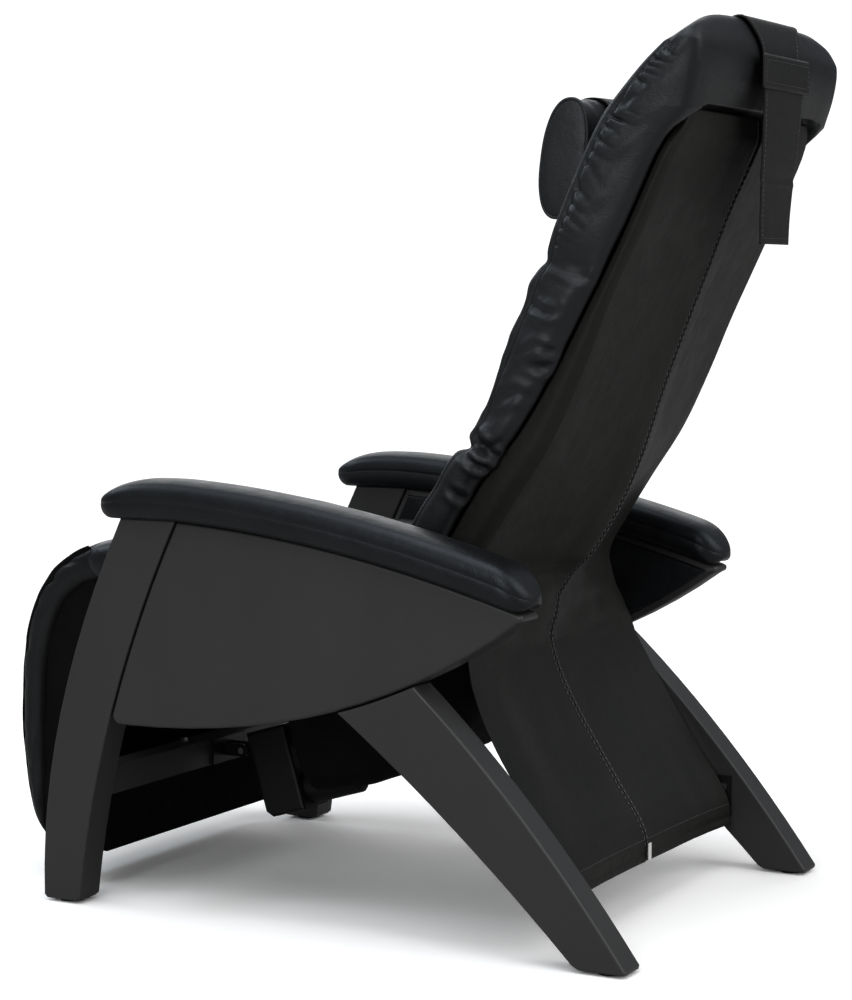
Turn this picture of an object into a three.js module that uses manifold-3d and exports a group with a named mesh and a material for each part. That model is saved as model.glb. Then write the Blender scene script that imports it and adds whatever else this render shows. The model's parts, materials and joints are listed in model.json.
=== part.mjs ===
// Power zero gravity recliner: a leaning padded back, a seat and a hanging legrest between two wooden
// side frames. Millimetres, +Z up. The sitter faces -Y, and +X is the sitter's left.
import * as THREE from "three";
import { mergeVertices } from "three/addons/utils/BufferGeometryUtils.js";
import Module from "manifold-3d";

const wasm = await Module();
wasm.setup();

// Driving sizes: side frames
const frameWidth = 720;
const legThickness = 50;
const innerX = frameWidth / 2 - legThickness;
const frameEdgeRound = 6;
const legEdgeRound = 2.5;
const hipHeight = 420;
const armAboveHip = 146;
const armHeight = hipHeight + armAboveHip;
const frontFootY = -455;
const frontFootDepth = 62;
const frontLegLean = 141;
const frontLegTopDepth = 93;
const rearFootY = 402;
const rearFootDepth = 74;
const rearLegRun = 354;
const rearLegRise = 309;
const rearLegBackRun = 316;
const rearLegBackRise = 358;
const footChamfer = 5;
const panelLowerHeight = 268;
const panelTipY = 329;
const panelTipHeight = 463;
const panelTipRound = 8;
const panelCornerRound = 15;
const glideHeight = 4;
const glideRadius = 17;
const panelGap = 0.7;

// Driving sizes: arms
const armPadWidth = 85;
const armPadThickness = 57;
const armPadFrontY = -362;
const armPadRearY = 331;
const armBoardThickness = 9;
const armBoardInset = 42;
const armGrooveRamp = 5;

// Driving sizes: cross members and fasteners
const barHeight = 40;
const barDepth = 38;
const frontBarHeight = 156;
const rearBarHeight = 87;
const rearBarTall = 52;
const rearBarDepth = 28;
const endPlateThickness = 3.5;
const endPlateDepth = 56;
const endPlateMargin = 5;
const boltRadius = 6;
const boltHeadHeight = 4;
const boltSpacing = 27;
const frontBarSetback = 5;
const frontBarBoltX = 92;

// Driving sizes: hinge axes and moving frame
const hipY = 130;
const kneeY = -482;
const kneeHeight = 432;
const hipShaftRadius = 10;
const kneeShaftRadius = 8;
const runningGap = 0.4;
const restGap = 0.3;
const plateThickness = 8;
const plateSpacing = 5;
const eyeRadius = 24;
const kneeEyeRadius = 20;
const railHeight = 30;
const bracketThickness = 4;
const hipBracketRadius = 37;
const backPlateInset = 92;
const backPlateX = innerX - backPlateInset;
const backPlateDepth = 22;
const tubeRadius = 11;

// Driving sizes: seat and legrest
const seatSideGap = 40;
const seatHalfWidth = innerX - seatSideGap;
const seatCushionThickness = 66;
const seatCrown = 9;
const seatDeckThickness = 10;
const seatDeckInset = 10;
const seatRearY = 50;
const seatFrontY = -450;
const kneeRollRadius = 57;
const legrestSideGap = 55;
const legrestHalfWidth = innerX - legrestSideGap;
const legrestBottom = 50;
const legrestBoxFrontY = -530;
const legrestBoxRearY = -432;
const legrestBoxGap = 20;
const legrestBoxTop = kneeHeight - kneeRollRadius - legrestBoxGap;
const legrestWall = 12;
const legrestEdgeRound = 5;
const legrestFaceReach = 47;
const channelDepth = 7;

// Driving sizes: back
const backRun = 392;
const backRise = 820;
const backSideGap = 42;
const backHalfWidth = innerX - backSideGap;
const backCrown = 9;
const coverInset = 12;
const coverHalfWidth = backHalfWidth - coverInset;
const coverRidgeInset = 24;
const coverWall = 5;
const backBoardThickness = 9;
const coverDepth = 106;
const skirtTopY = 190;
const skirtTopHeight = 398;
const skirtBottomY = 344;
const skirtBottomHeight = 72;
const skirtThickness = 3;
const skirtTopSideGap = 62;
const skirtLowSideGap = 16;
const skirtTopHalfWidth = innerX - skirtTopSideGap;
const skirtLowHalfWidth = innerX - skirtLowSideGap;
const skirtFoldDepth = 6;

// Driving sizes: head pillow and its strap
const pillowWidth = 320;
const pillowHeight = 164;
const pillowThickness = 88;
const pillowRunShare = 0.408;
const pillowRiseShare = 0.787;
const strapWidth = 116;
const strapTailWidth = 74;
const strapThickness = 2.5;
const strapClear = 2;
const strapTailBottom = 948;
const strapTailTop = 1165;
const strapRearBottom = 1100;
const tabReach = 40;

// Driving sizes: drive
const driveLeverReach = 100;
const driveLeverAngle = 20;
const leverThickness = 8;
const leverHubRadius = 20;
const leverTipRadius = 14;
const rodEyeThickness = 14;
const rodEyeRadius = 17;
const pinRadius = 5;
const openPivotClearance = 3.2;
const bracketReach = 35;
const driveBracketWidth = 92;
const bracketEar = 5;
const pinMargin = 5;
const rodRadius = 10;
const outerTubeRadius = 17;
const outerTubeStart = 100;
const outerTubeEnd = 362;
const outerTubeFloor = 5;
const rodStart = 160;
const gearboxStart = 30;
const gearboxDrop = 110;
const gearboxRise = 24;
const gearboxHalfWidth = 38;
const gearboxCorner = 10;
const gearboxEdgeRound = 5;
const earRadius = 10;
const motorRadius = 26;
const motorDrop = 80;
const motorLength = 92;
const motorEndRound = 5;
const socketRadius = 9;
const socketLength = 12;

// Named overrun for every cut, the distance within which points merge, and the steps of curves
const overrun = 5;
const mergeDistance = 1e-4;
const curveSteps = 12;
const roundSegments = 24;

const recliner = new THREE.Group();

// Finishes
const finish = (color, roughness, metalness = 0) =>
  new THREE.MeshStandardMaterial({ color, roughness, metalness });
const finishes = {
  frame: finish(0x33312f, 0.55),
  leather: finish(0x17171a, 0.42),
  cover: finish(0x1f1e1d, 0.6),
  board: finish(0x8a6a48, 0.7),
  steel: finish(0x2a2a2c, 0.45, 0.8),
  zinc: finish(0xb9bcc0, 0.3, 1),
  brass: finish(0xb08d4a, 0.35, 1),
  plastic: finish(0x1c1c1e, 0.6),
  tag: finish(0xd8d8d6, 0.5),
};

function addPiece(name, geometry, material) {
  const mesh = new THREE.Mesh(geometry, finishes[material]);
  mesh.name = name;
  recliner.add(mesh);
  return mesh;
}

// Solids that are cut or joined
function toSolid(geometry) {
  const bare = new THREE.BufferGeometry();
  bare.setAttribute("position", geometry.getAttribute("position").clone());
  if (geometry.index) bare.setIndex(geometry.index.clone());
  const merged = mergeVertices(bare, mergeDistance);
  return new wasm.Manifold(
    new wasm.Mesh({
      numProp: 3,
      vertProperties: new Float32Array(merged.getAttribute("position").array),
      triVerts: new Uint32Array(merged.index.array),
    }),
  );
}

function toGeometry(solid) {
  const mesh = solid.getMesh();
  const geometry = new THREE.BufferGeometry();
  geometry.setAttribute("position", new THREE.BufferAttribute(mesh.vertProperties.slice(), 3));
  geometry.setIndex(Array.from(mesh.triVerts));
  return geometry;
}

const cut = (geometry, ...tools) =>
  toGeometry(tools.reduce((solid, tool) => solid.subtract(toSolid(tool)), toSolid(geometry)));
const join = (geometry, ...others) =>
  toGeometry(others.reduce((solid, other) => solid.add(toSolid(other)), toSolid(geometry)));

// A plate drawn in side view (Y, Z) and thickened along X from nearX
const sideView = new THREE.Matrix4().makeBasis(
  new THREE.Vector3(0, 1, 0),
  new THREE.Vector3(0, 0, 1),
  new THREE.Vector3(1, 0, 0),
);

function plate(points, nearX, thickness, edgeRound = 0, edgeSegments = 2) {
  const shape = new THREE.Shape(points.map(([y, z]) => new THREE.Vector2(y, z)));
  const geometry = new THREE.ExtrudeGeometry(shape, {
    depth: thickness - 2 * edgeRound,
    bevelEnabled: edgeRound > 0,
    bevelThickness: edgeRound,
    bevelSize: edgeRound,
    bevelOffset: -edgeRound,
    bevelSegments: edgeSegments,
    steps: 1,
  });
  geometry.translate(0, 0, nearX + edgeRound);
  return geometry.applyMatrix4(sideView);
}

// A round bar along X, centred at a point of the side view
function roundBar([y, z], radius, fromX, toX, segments = roundSegments) {
  const geometry = new THREE.CylinderGeometry(radius, radius, toX - fromX, segments);
  geometry.rotateZ(Math.PI / 2);
  return geometry.translate((fromX + toX) / 2, y, z);
}

// Side-view curves: an end, an end and how far the middle is pulled, as shares of run and rise
function bowed([y0, z0], [y1, z1], [runShare, riseShare]) {
  const middle = [y0 + (y1 - y0) * runShare, z0 + (z1 - z0) * riseShare];
  return (t) =>
    [0, 1].map(
      (k) =>
        (1 - t) * (1 - t) * [y0, z0][k] + 2 * t * (1 - t) * middle[k] + t * t * [y1, z1][k],
    );
}

function sample(curve, from, to, steps = curveSteps) {
  return Array.from({ length: steps + 1 }, (_, i) => curve(from + ((to - from) * i) / steps));
}

// The parameter at which a steadily rising or falling quantity of a curve reaches zero
function solve(quantity, from, to) {
  let [low, high] = [from, to];
  const rising = quantity(high) > quantity(low);
  for (let i = 0; i < 40; i += 1) {
    const middle = (low + high) / 2;
    if (quantity(middle) > 0 === rising) high = middle;
    else low = middle;
  }
  return (low + high) / 2;
}

const heightOn = (curve, y) => curve(solve((t) => curve(t)[0] - y, -0.2, 1.2))[1];

// A smooth side-view line through a list of points, read at any parameter from 0 to 1
function smoothLine(points) {
  const spline = new THREE.CatmullRomCurve3(
    points.map(([y, z]) => new THREE.Vector3(0, y, z)),
    false,
    "centripetal",
  );
  return (t) => {
    const point = spline.getPoint(Math.min(Math.max(t, 0), 1));
    return [point.y, point.z];
  };
}

// Closed bodies from rings of points, the first and last ring closed by a fan
function loft(rings) {
  const count = rings[0].length;
  const points = rings.flat();
  const faces = [];
  for (let r = 0; r + 1 < rings.length; r += 1)
    for (let i = 0; i < count; i += 1) {
      const next = (i + 1) % count;
      const [a, b] = [r * count + i, r * count + next];
      faces.push(a, b, a + count, b, b + count, a + count);
    }
  for (const [r, flip] of [
    [0, true],
    [rings.length - 1, false],
  ]) {
    const centre = new THREE.Vector3();
    rings[r].forEach((point) => centre.addScaledVector(point, 1 / count));
    points.push(centre);
    for (let i = 0; i < count; i += 1) {
      const [a, b] = [r * count + i, r * count + ((i + 1) % count)];
      faces.push(...(flip ? [b, a, points.length - 1] : [a, b, points.length - 1]));
    }
  }
  return facingOut(points, faces);
}

// A sheet with thickness: two grids of points, stitched along all four edges
function thickSheet(outer, inner) {
  const rows = outer.length;
  const columns = outer[0].length;
  const points = [...outer.flat(), ...inner.flat()];
  const at = (side, r, c) => (side * rows + r) * columns + c;
  const faces = [];
  const quad = (a, b, c, d) => faces.push(a, b, c, a, c, d);
  for (let r = 0; r + 1 < rows; r += 1)
    for (let c = 0; c + 1 < columns; c += 1) {
      quad(at(0, r, c), at(0, r, c + 1), at(0, r + 1, c + 1), at(0, r + 1, c));
      quad(at(1, r, c), at(1, r + 1, c), at(1, r + 1, c + 1), at(1, r, c + 1));
    }
  for (let c = 0; c + 1 < columns; c += 1) {
    quad(at(0, 0, c), at(1, 0, c), at(1, 0, c + 1), at(0, 0, c + 1));
    quad(at(0, rows - 1, c), at(0, rows - 1, c + 1), at(1, rows - 1, c + 1), at(1, rows - 1, c));
  }
  for (let r = 0; r + 1 < rows; r += 1) {
    quad(at(0, r, 0), at(0, r + 1, 0), at(1, r + 1, 0), at(1, r, 0));
    quad(
      at(0, r, columns - 1),
      at(1, r, columns - 1),
      at(1, r + 1, columns - 1),
      at(0, r + 1, columns - 1),
    );
  }
  return facingOut(points, faces);
}

function facingOut(points, faces) {
  let volume = 0;
  for (let i = 0; i < faces.length; i += 3) {
    const [a, b, c] = [points[faces[i]], points[faces[i + 1]], points[faces[i + 2]]];
    volume += a.dot(new THREE.Vector3().crossVectors(b, c));
  }
  const index = volume < 0 ? faces.slice().reverse() : faces;
  const geometry = new THREE.BufferGeometry().setFromPoints(points);
  geometry.setIndex(index);
  return geometry;
}

// The closed section of a pad: a flat back, bulging sides and a crowned face, as [across, forward]
const faceShares = [-0.9, -0.72, -0.48, -0.24, 0, 0.24, 0.48, 0.72, 0.9];
const backShares = [0.96, 0.5, 0, -0.5, -0.96];
const crownAt = (share, crown) => crown * (1 - share * share);
function padSection(halfWidth, thickness, crown) {
  const side = [
    [1, 0.78],
    [1.012, 0.5],
    [1, 0.2],
  ];
  return [
    ...faceShares.map((share) => [share * halfWidth, thickness + crownAt(share, crown)]),
    ...side.map(([w, t]) => [w * halfWidth, t * thickness]),
    ...backShares.map((share) => [share * halfWidth, 0]),
    ...side.reverse().map(([w, t]) => [-w * halfWidth, t * thickness]),
  ];
}

// Rings of a pad whose back and face lines are given in side view
function padRing(back, face, halfWidth, crown) {
  const forward = new THREE.Vector2(face[0] - back[0], face[1] - back[1]);
  const thickness = forward.length();
  forward.normalize();
  return padSection(halfWidth, thickness, crown).map(
    ([x, n]) => new THREE.Vector3(x, back[0] + forward.x * n, back[1] + forward.y * n),
  );
}

// Side frames
const outerX = frameWidth / 2;
const armX = outerX - legThickness / 2;
const footBottom = glideHeight + restGap;
const sides = [
  ["left", 1],
  ["right", -1],
];
const nearSide = (side, from, thickness) => (side > 0 ? from : -from - thickness);

const frontLegFront = bowed(
  [frontFootY, 0],
  [frontFootY + frontLegLean, armHeight],
  [-0.06, 0.47],
);
const frontLegTopRear = frontFootY + frontLegLean + frontLegTopDepth;
const frontLegRear = bowed(
  [frontFootY + frontFootDepth, 0],
  [frontLegTopRear, armHeight],
  [0.19, 0.51],
);
const rearLegFront = bowed([rearFootY, 0], [rearFootY - rearLegRun, rearLegRise], [0.48, 0.555]);
const rearLegRear = bowed(
  [rearFootY + rearFootDepth, 0],
  [rearFootY + rearFootDepth - rearLegBackRun, rearLegBackRise],
  [0.46, 0.575],
);

const panelTop = bowed([frontLegTopRear, armHeight], [panelTipY, panelTipHeight], [0.5, 0.15]);
const panelFrontLow = frontLegRear(solve((t) => frontLegRear(t)[1] - panelLowerHeight, 0, 1));
const panelBottom = bowed(panelFrontLow, [panelTipY, panelTipHeight], [0.6, -0.05]);
const armTop = (y) => (y < frontLegTopRear ? armHeight : heightOn(panelTop, y));

// A leg's outline between two bowed edges, with chamfered foot corners
function legOutline(frontEdge, rearEdge, frontTop, rearTop, topPoints) {
  const start = (edge) => solve((t) => edge(t)[1] - footBottom, -0.1, 0.5);
  const corner = (edge, inward) => {
    const [y, z] = edge(start(edge));
    const above = edge(solve((t) => edge(t)[1] - footBottom - footChamfer, -0.1, 0.5));
    return [[y + inward * footChamfer, z], above];
  };
  const [frontFoot, frontAbove] = corner(frontEdge, 1);
  const [rearFoot, rearAbove] = corner(rearEdge, -1);
  const from = (edge) => solve((t) => edge(t)[1] - footBottom - footChamfer, -0.1, 0.5);
  return [
    frontFoot,
    rearFoot,
    rearAbove,
    ...sample(rearEdge, from(rearEdge), rearTop).slice(1),
    ...topPoints,
    ...sample(frontEdge, from(frontEdge), frontTop).reverse().slice(0, -1),
    frontAbove,
  ];
}

const frontLegOutline = legOutline(frontLegFront, frontLegRear, 1, 1, []);

// The rear leg runs up to the panel's lower edge and follows it
const underPanel = (edge) =>
  solve((t) => edge(t)[1] - heightOn(panelBottom, edge(t)[0]) + panelGap, 0.5, 1.4);
const rearLegTops = [rearLegFront, rearLegRear].map(underPanel);
const rearLegTopEdge = sample(
  (t) => {
    const from = rearLegRear(rearLegTops[1])[0];
    const y = from + (rearLegFront(rearLegTops[0])[0] - from) * t;
    return [y, heightOn(panelBottom, y) - panelGap];
  },
  0,
  1,
  6,
).slice(1, -1);
const rearLegOutline = legOutline(
  rearLegFront,
  rearLegRear,
  rearLegTops[0],
  rearLegTops[1],
  rearLegTopEdge,
);

// The panel: along the front leg, round the lower corner, along the rim to a blunt tip and back
function roundCorner([y, z], radius, fromAngle, toAngle, steps = 5) {
  return sample(
    (t) => {
      const angle = ((fromAngle + (toAngle - fromAngle) * t) * Math.PI) / 180;
      return [y + radius * Math.cos(angle), z + radius * Math.sin(angle)];
    },
    0,
    1,
    steps,
  );
}

const panelFrontEdge = sample(
  frontLegRear,
  1,
  solve((t) => frontLegRear(t)[1] - panelLowerHeight - panelCornerRound, 0, 1),
  6,
).map(([y, z]) => [y + panelGap, z]);
const cornerStart = panelFrontEdge.at(-1);
const panelCorner = roundCorner(
  [cornerStart[0] + panelCornerRound, cornerStart[1]],
  panelCornerRound,
  180,
  270,
).slice(1);
const rimFrom = solve((t) => panelBottom(t)[0] - cornerStart[0] - 2 * panelCornerRound, 0, 1);
const panelDepthAt = (y) => heightOn(panelTop, y) - heightOn(panelBottom, y);
const tipAt = solve((y) => panelDepthAt(y) - 2 * panelTipRound, 0, panelTipY);
const rimTo = solve((t) => panelBottom(t)[0] - tipAt, 0, 1);
const topTo = solve((t) => panelTop(t)[0] - tipAt, 0, 1);
const panelRim = sample(panelBottom, rimFrom, rimTo, 14);
const tipCentre = [tipAt, heightOn(panelBottom, tipAt) + panelTipRound];
const panelTipCurve = roundCorner(tipCentre, panelTipRound, -90, 90).slice(1, -1);
const panelOutline = [
  ...panelFrontEdge,
  ...panelCorner,
  ...panelRim,
  ...panelTipCurve,
  ...sample(panelTop, topTo, 0, 10).slice(0, -1),
  [frontLegTopRear + panelGap, armHeight],
].slice(1);

for (const [name, side] of sides) {
  const near = nearSide(side, innerX, legThickness);
  addPiece(name + "_front_leg", plate(frontLegOutline, near, legThickness, legEdgeRound), "frame");
  addPiece(name + "_rear_leg", plate(rearLegOutline, near, legThickness, legEdgeRound), "frame");
  addPiece(
    name + "_side_panel",
    plate(panelOutline, near, legThickness, frameEdgeRound, 3),
    "frame",
  );
}

// Glides under the four feet
const footCentres = [
  ["front", frontFootY + frontFootDepth / 2],
  ["rear", rearFootY + rearFootDepth / 2],
];
for (const [name, side] of sides)
  for (const [place, y] of footCentres) {
    const glide = new THREE.CylinderGeometry(glideRadius, glideRadius, glideHeight, 20);
    glide.rotateX(Math.PI / 2);
    glide.translate(side * armX, y, glideHeight / 2);
    addPiece(name + "_" + place + "_glide", glide, "plastic");
  }

// Arm boards on the frames, and the padded arms that fit down over them
const armBoardFrom = frontFootY + frontLegLean + frameEdgeRound;
const armBoardTo = armPadRearY - armBoardInset;
const evenly = (from, to, steps) => sample((t) => from + (to - from) * t, 0, 1, steps);
const armBoardStations = evenly(armBoardFrom, armBoardTo, 14);
const alongBoard = (lift) => armBoardStations.map((y) => [y, armTop(y) + lift]);
const armBoardOutline = [
  ...alongBoard(restGap),
  ...alongBoard(restGap + armBoardThickness).reverse(),
];
const armBoardWidth = legThickness - 2 * frameEdgeRound;
const grooveHalf = armBoardWidth / 2 + runningGap;
const grooveTop = 2 * restGap + armBoardThickness;
const padLength = armPadRearY - armPadFrontY;

// The arm pad's section, from one edge of the groove over the crown to the other
const armEndWidthShare = 0.16;
const armEndHeightShare = 0.12;
const armEndRiseShare = 0.42;
const armGrooveShare = 0.6;
const armLipShare = 0.05;
const armHalfSectionShares = [
  [0.72, -0.03],
  [0.94, 0.12],
  [1, 0.36],
  [0.97, 0.6],
  [0.84, 0.82],
  [0.52, 0.96],
];

function armPadRing(y, centreX) {
  const share = (2 * (y - armPadFrontY)) / padLength - 1;
  const roundness = Math.pow(Math.max(1 - Math.pow(Math.abs(share), 7), 0), 0.5);
  const fullness = Math.pow(Math.max(1 - Math.pow(Math.abs(share), 14), 0), 0.5);
  const halfWidth = (armPadWidth / 2) * (armEndWidthShare + (1 - armEndWidthShare) * roundness);
  const inBoard = y > armBoardFrom - 2 * armGrooveRamp && y < armBoardTo + 2 * armGrooveRamp;
  const height = armPadThickness * (armEndHeightShare + (1 - armEndHeightShare) * fullness);
  const bottom = armTop(y) + restGap + (1 - fullness) * armPadThickness * armEndRiseShare;
  const groove = inBoard ? grooveTop : 0;
  const grooveX = Math.min(grooveHalf, halfWidth * armGrooveShare);
  const half = [
    [grooveX, groove],
    [grooveX + (halfWidth - grooveX) * armLipShare, 0],
    ...armHalfSectionShares.map(([w, h]) => [w * halfWidth, h * height]),
  ];
  const section = [
    ...half,
    [0, height],
    ...half
      .slice()
      .reverse()
      .map(([x, z]) => [-x, z]),
  ];
  return section.map(([x, z]) => new THREE.Vector3(centreX + x, y, bottom + Math.max(z, 0)));
}

// Stations along the pad: close together at the round ends, and the board's own between them
const armEndSteps = 7;
function armPadStations() {
  const eased = (from, to) =>
    sample((t) => from + (to - from) * (1 - Math.cos((Math.PI / 2) * t)), 0, 1, armEndSteps);
  return [
    ...eased(armPadFrontY, armBoardFrom - 2 * armGrooveRamp),
    armBoardFrom - armGrooveRamp,
    ...armBoardStations,
    armBoardTo + armGrooveRamp,
    ...eased(armPadRearY, armBoardTo + 2 * armGrooveRamp).reverse(),
  ];
}

for (const [name, side] of sides) {
  const board = plate(armBoardOutline, side * armX - armBoardWidth / 2, armBoardWidth);
  addPiece(name + "_arm_board", board, "board");
  const rings = armPadStations().map((y) => armPadRing(y, side * armX));
  addPiece(name + "_arm_pad", loft(rings), "leather");
}

// The line that the rear skirt hangs along, from below the back down over the rear bar
const skirtShares = [
  [0, 1],
  [0.013, 0.948],
  [0.073, 0.837],
  [0.178, 0.73],
  [0.331, 0.6],
  [0.503, 0.472],
  [0.675, 0.347],
  [0.81, 0.252],
  [0.925, 0.172],
  [0.985, 0.095],
  [1, 0],
];
const skirtLine = smoothLine(
  skirtShares.map(([out, up]) => [
    skirtTopY + (skirtBottomY - skirtTopY) * out,
    skirtBottomHeight + (skirtTopHeight - skirtBottomHeight) * up,
  ]),
);
const rearBarTop = rearBarHeight + rearBarTall;
const skirtAtBar = skirtLine(solve((t) => skirtLine(t)[1] - rearBarTop, 0, 1))[0];
const rearBarY = skirtAtBar - skirtFoldDepth / 2 - 2 * restGap - rearBarDepth;

// Cross bars between the legs
const frontLegRearAtBar = frontLegRear(
  solve((t) => frontLegRear(t)[1] - frontBarHeight - barHeight / 2, 0, 1),
)[0];
const frontBarRearY = frontLegRearAtBar - frontBarSetback;
const rectangle = (y0, z0, depth, height) => [
  [y0, z0],
  [y0 + depth, z0],
  [y0 + depth, z0 + height],
  [y0, z0 + height],
];
const frontBarHalf = innerX - restGap;
addPiece(
  "front_crossbar",
  plate(
    rectangle(frontBarRearY - barDepth, frontBarHeight, barDepth, barHeight),
    -frontBarHalf,
    2 * frontBarHalf,
    restGap,
    1,
  ),
  "frame",
);
const rearBarHalf = innerX - endPlateThickness - 2 * restGap;
addPiece(
  "rear_crossbar",
  plate(
    rectangle(rearBarY, rearBarHeight, rearBarDepth, rearBarTall),
    -rearBarHalf,
    2 * rearBarHalf,
    restGap,
    1,
  ),
  "frame",
);

// End plates of the rear bar, bolted to the inner faces of the rear legs
const endPlateZ = rearBarHeight - endPlateMargin;
const endPlateHeight = rearBarTall + 2 * endPlateMargin;
const endPlateInner = innerX - restGap - endPlateThickness;
for (const [name, side] of sides) {
  addPiece(
    name + "_rear_bar_plate",
    plate(
      rectangle(rearBarY, endPlateZ, endPlateDepth, endPlateHeight),
      nearSide(side, endPlateInner, endPlateThickness),
      endPlateThickness,
    ),
    "steel",
  );
  const boltY = rearBarY + endPlateDepth - 2 * boltRadius;
  const boltMiddle = endPlateZ + endPlateHeight / 2;
  for (const [place, sign, material] of [
    ["upper", 1, "zinc"],
    ["lower", -1, "brass"],
  ]) {
    const headInner = endPlateInner - restGap - boltHeadHeight;
    const from = nearSide(side, headInner, boltHeadHeight);
    const boltZ = boltMiddle + (sign * boltSpacing) / 2;
    addPiece(
      name + "_" + place + "_bar_bolt",
      roundBar([boltY, boltZ], boltRadius, from, from + boltHeadHeight, 6),
      material,
    );
  }
}

// Hip brackets on the inner faces of the panels, with a bearing hole for the hip shaft
const hip = [hipY, hipHeight];
const knee = [kneeY, kneeHeight];
const bearingRadius = hipShaftRadius + runningGap;
const bracketInner = innerX - restGap - bracketThickness;
const shaftHole = (radius) => roundBar(hip, radius, -outerX, outerX);
for (const [name, side] of sides) {
  const near = nearSide(side, bracketInner, bracketThickness);
  const disc = roundBar(hip, hipBracketRadius, near, near + bracketThickness);
  addPiece(name + "_hip_bracket", cut(disc, shaftHole(bearingRadius)), "steel");
}

// The hip shaft turns in the brackets and carries the back, the seat and the drive lever
const hipShaftHalf = innerX - 3 * restGap;
addPiece("hip_shaft", roundBar(hip, hipShaftRadius, -hipShaftHalf, hipShaftHalf), "steel");

// Seat: everything is drawn along the line from the hip to the knee
const seatLength = Math.hypot(hipY - kneeY, hipHeight - kneeHeight);
const seatForward = [(kneeY - hipY) / seatLength, (kneeHeight - hipHeight) / seatLength];
const onSeat = (along, up) => [
  hipY + seatForward[0] * along + seatForward[1] * up,
  hipHeight + seatForward[1] * along - seatForward[0] * up,
];
const alongSeat = (y) => (y - hipY) / seatForward[0];
const railX = backPlateX + plateThickness + plateSpacing;
const railHalf = railHeight / 2;
const railOutline = [
  onSeat(0, -railHalf),
  onSeat(seatLength, -railHalf),
  onSeat(seatLength, railHalf),
  onSeat(0, railHalf),
];
const kneeHole = (radius) => roundBar(knee, radius, -outerX, outerX);
const kneeBearing = kneeShaftRadius + runningGap;
for (const [name, side] of sides) {
  const near = nearSide(side, railX, plateThickness);
  const rail = join(
    plate(railOutline, near, plateThickness),
    roundBar(hip, eyeRadius, near, near + plateThickness),
    roundBar(knee, kneeEyeRadius, near, near + plateThickness),
  );
  addPiece(name + "_seat_rail", cut(rail, shaftHole(bearingRadius), kneeHole(kneeBearing)), "steel");
}
const betweenRails = railX - restGap;
const seatTubeUp = railHalf - tubeRadius + restGap;
const seatTubeAlong = alongSeat(seatFrontY) - 2 * eyeRadius;
addPiece(
  "seat_front_tube",
  roundBar(onSeat(seatTubeAlong, seatTubeUp), tubeRadius, -betweenRails, betweenRails),
  "steel",
);

const deckBottom = railHalf + 2 * restGap;
const deckTop = deckBottom + seatDeckThickness;
const deckFrom = alongSeat(seatRearY) - eyeRadius;
const deckTo = alongSeat(seatFrontY) - eyeRadius;
const deckHalfWidth = seatHalfWidth - seatDeckInset;
addPiece(
  "seat_deck",
  plate(
    [
      onSeat(deckFrom, deckBottom),
      onSeat(deckTo, deckBottom),
      onSeat(deckTo, deckTop),
      onSeat(deckFrom, deckTop),
    ],
    -deckHalfWidth,
    2 * deckHalfWidth,
  ),
  "board",
);

// Seat cushion: its ends are drawn in and its front edge leans over the knee roll
const seatEndShares = [
  [0, 0.02, 0.66, 0.93],
  [0.02, 0, 0.88, 0.97],
  [0.07, 0, 0.98, 0.99],
  [0.2, 0, 1.02, 0.985],
  [0.35, 0, 1.04, 0.975],
  [0.5, 0, 1.04, 0.972],
  [0.65, 0, 1.03, 0.975],
  [0.8, 0, 1.01, 0.985],
  [0.9, 0, 0.97, 1],
  [0.95, 0.06, 0.9, 0.99],
  [0.985, 0.3, 0.76, 0.96],
  [1, 0.5, 0.62, 0.93],
];
const seatFrom = alongSeat(seatRearY);
const seatTo = alongSeat(seatFrontY);
const cushionBase = deckTop + restGap;
const seatRings = seatEndShares.map(([along, low, high, width]) => {
  const at = seatFrom + (seatTo - seatFrom) * along;
  return padRing(
    onSeat(at, cushionBase + low * seatCushionThickness),
    onSeat(at, cushionBase + high * seatCushionThickness),
    seatHalfWidth * width,
    seatCrown * (high - low),
  );
});
addPiece("seat_cushion", loft(seatRings), "leather");

// Knee roll round the knee shaft, between the seat rails
const rollHalf = betweenRails - restGap;
const rollRound = kneeRollRadius / 3;
const rollCornerShare = 0.3;
const rollProfile = [
  [kneeBearing, -rollHalf],
  [kneeRollRadius - rollRound, -rollHalf],
  [kneeRollRadius - rollRound * rollCornerShare, -rollHalf + rollRound * rollCornerShare],
  [kneeRollRadius, -rollHalf + rollRound],
  [kneeRollRadius, rollHalf - rollRound],
  [kneeRollRadius - rollRound * rollCornerShare, rollHalf - rollRound * rollCornerShare],
  [kneeRollRadius - rollRound, rollHalf],
  [kneeBearing, rollHalf],
  [kneeBearing, -rollHalf],
].map(([radius, x]) => new THREE.Vector2(radius, x));
const kneeRoll = new THREE.LatheGeometry(rollProfile, roundSegments);
kneeRoll.rotateZ(-Math.PI / 2);
kneeRoll.translate(0, kneeY, kneeHeight);
addPiece("knee_roll", toGeometry(toSolid(kneeRoll)), "leather");

// Legrest: side plates on the knee shaft, a tray-like frame and its channelled pad
const legrestPlateX = railX + plateThickness + restGap;
const kneeShaftHalf = legrestPlateX + plateThickness + restGap;
addPiece("knee_shaft", roundBar(knee, kneeShaftRadius, -kneeShaftHalf, kneeShaftHalf), "zinc");

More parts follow.
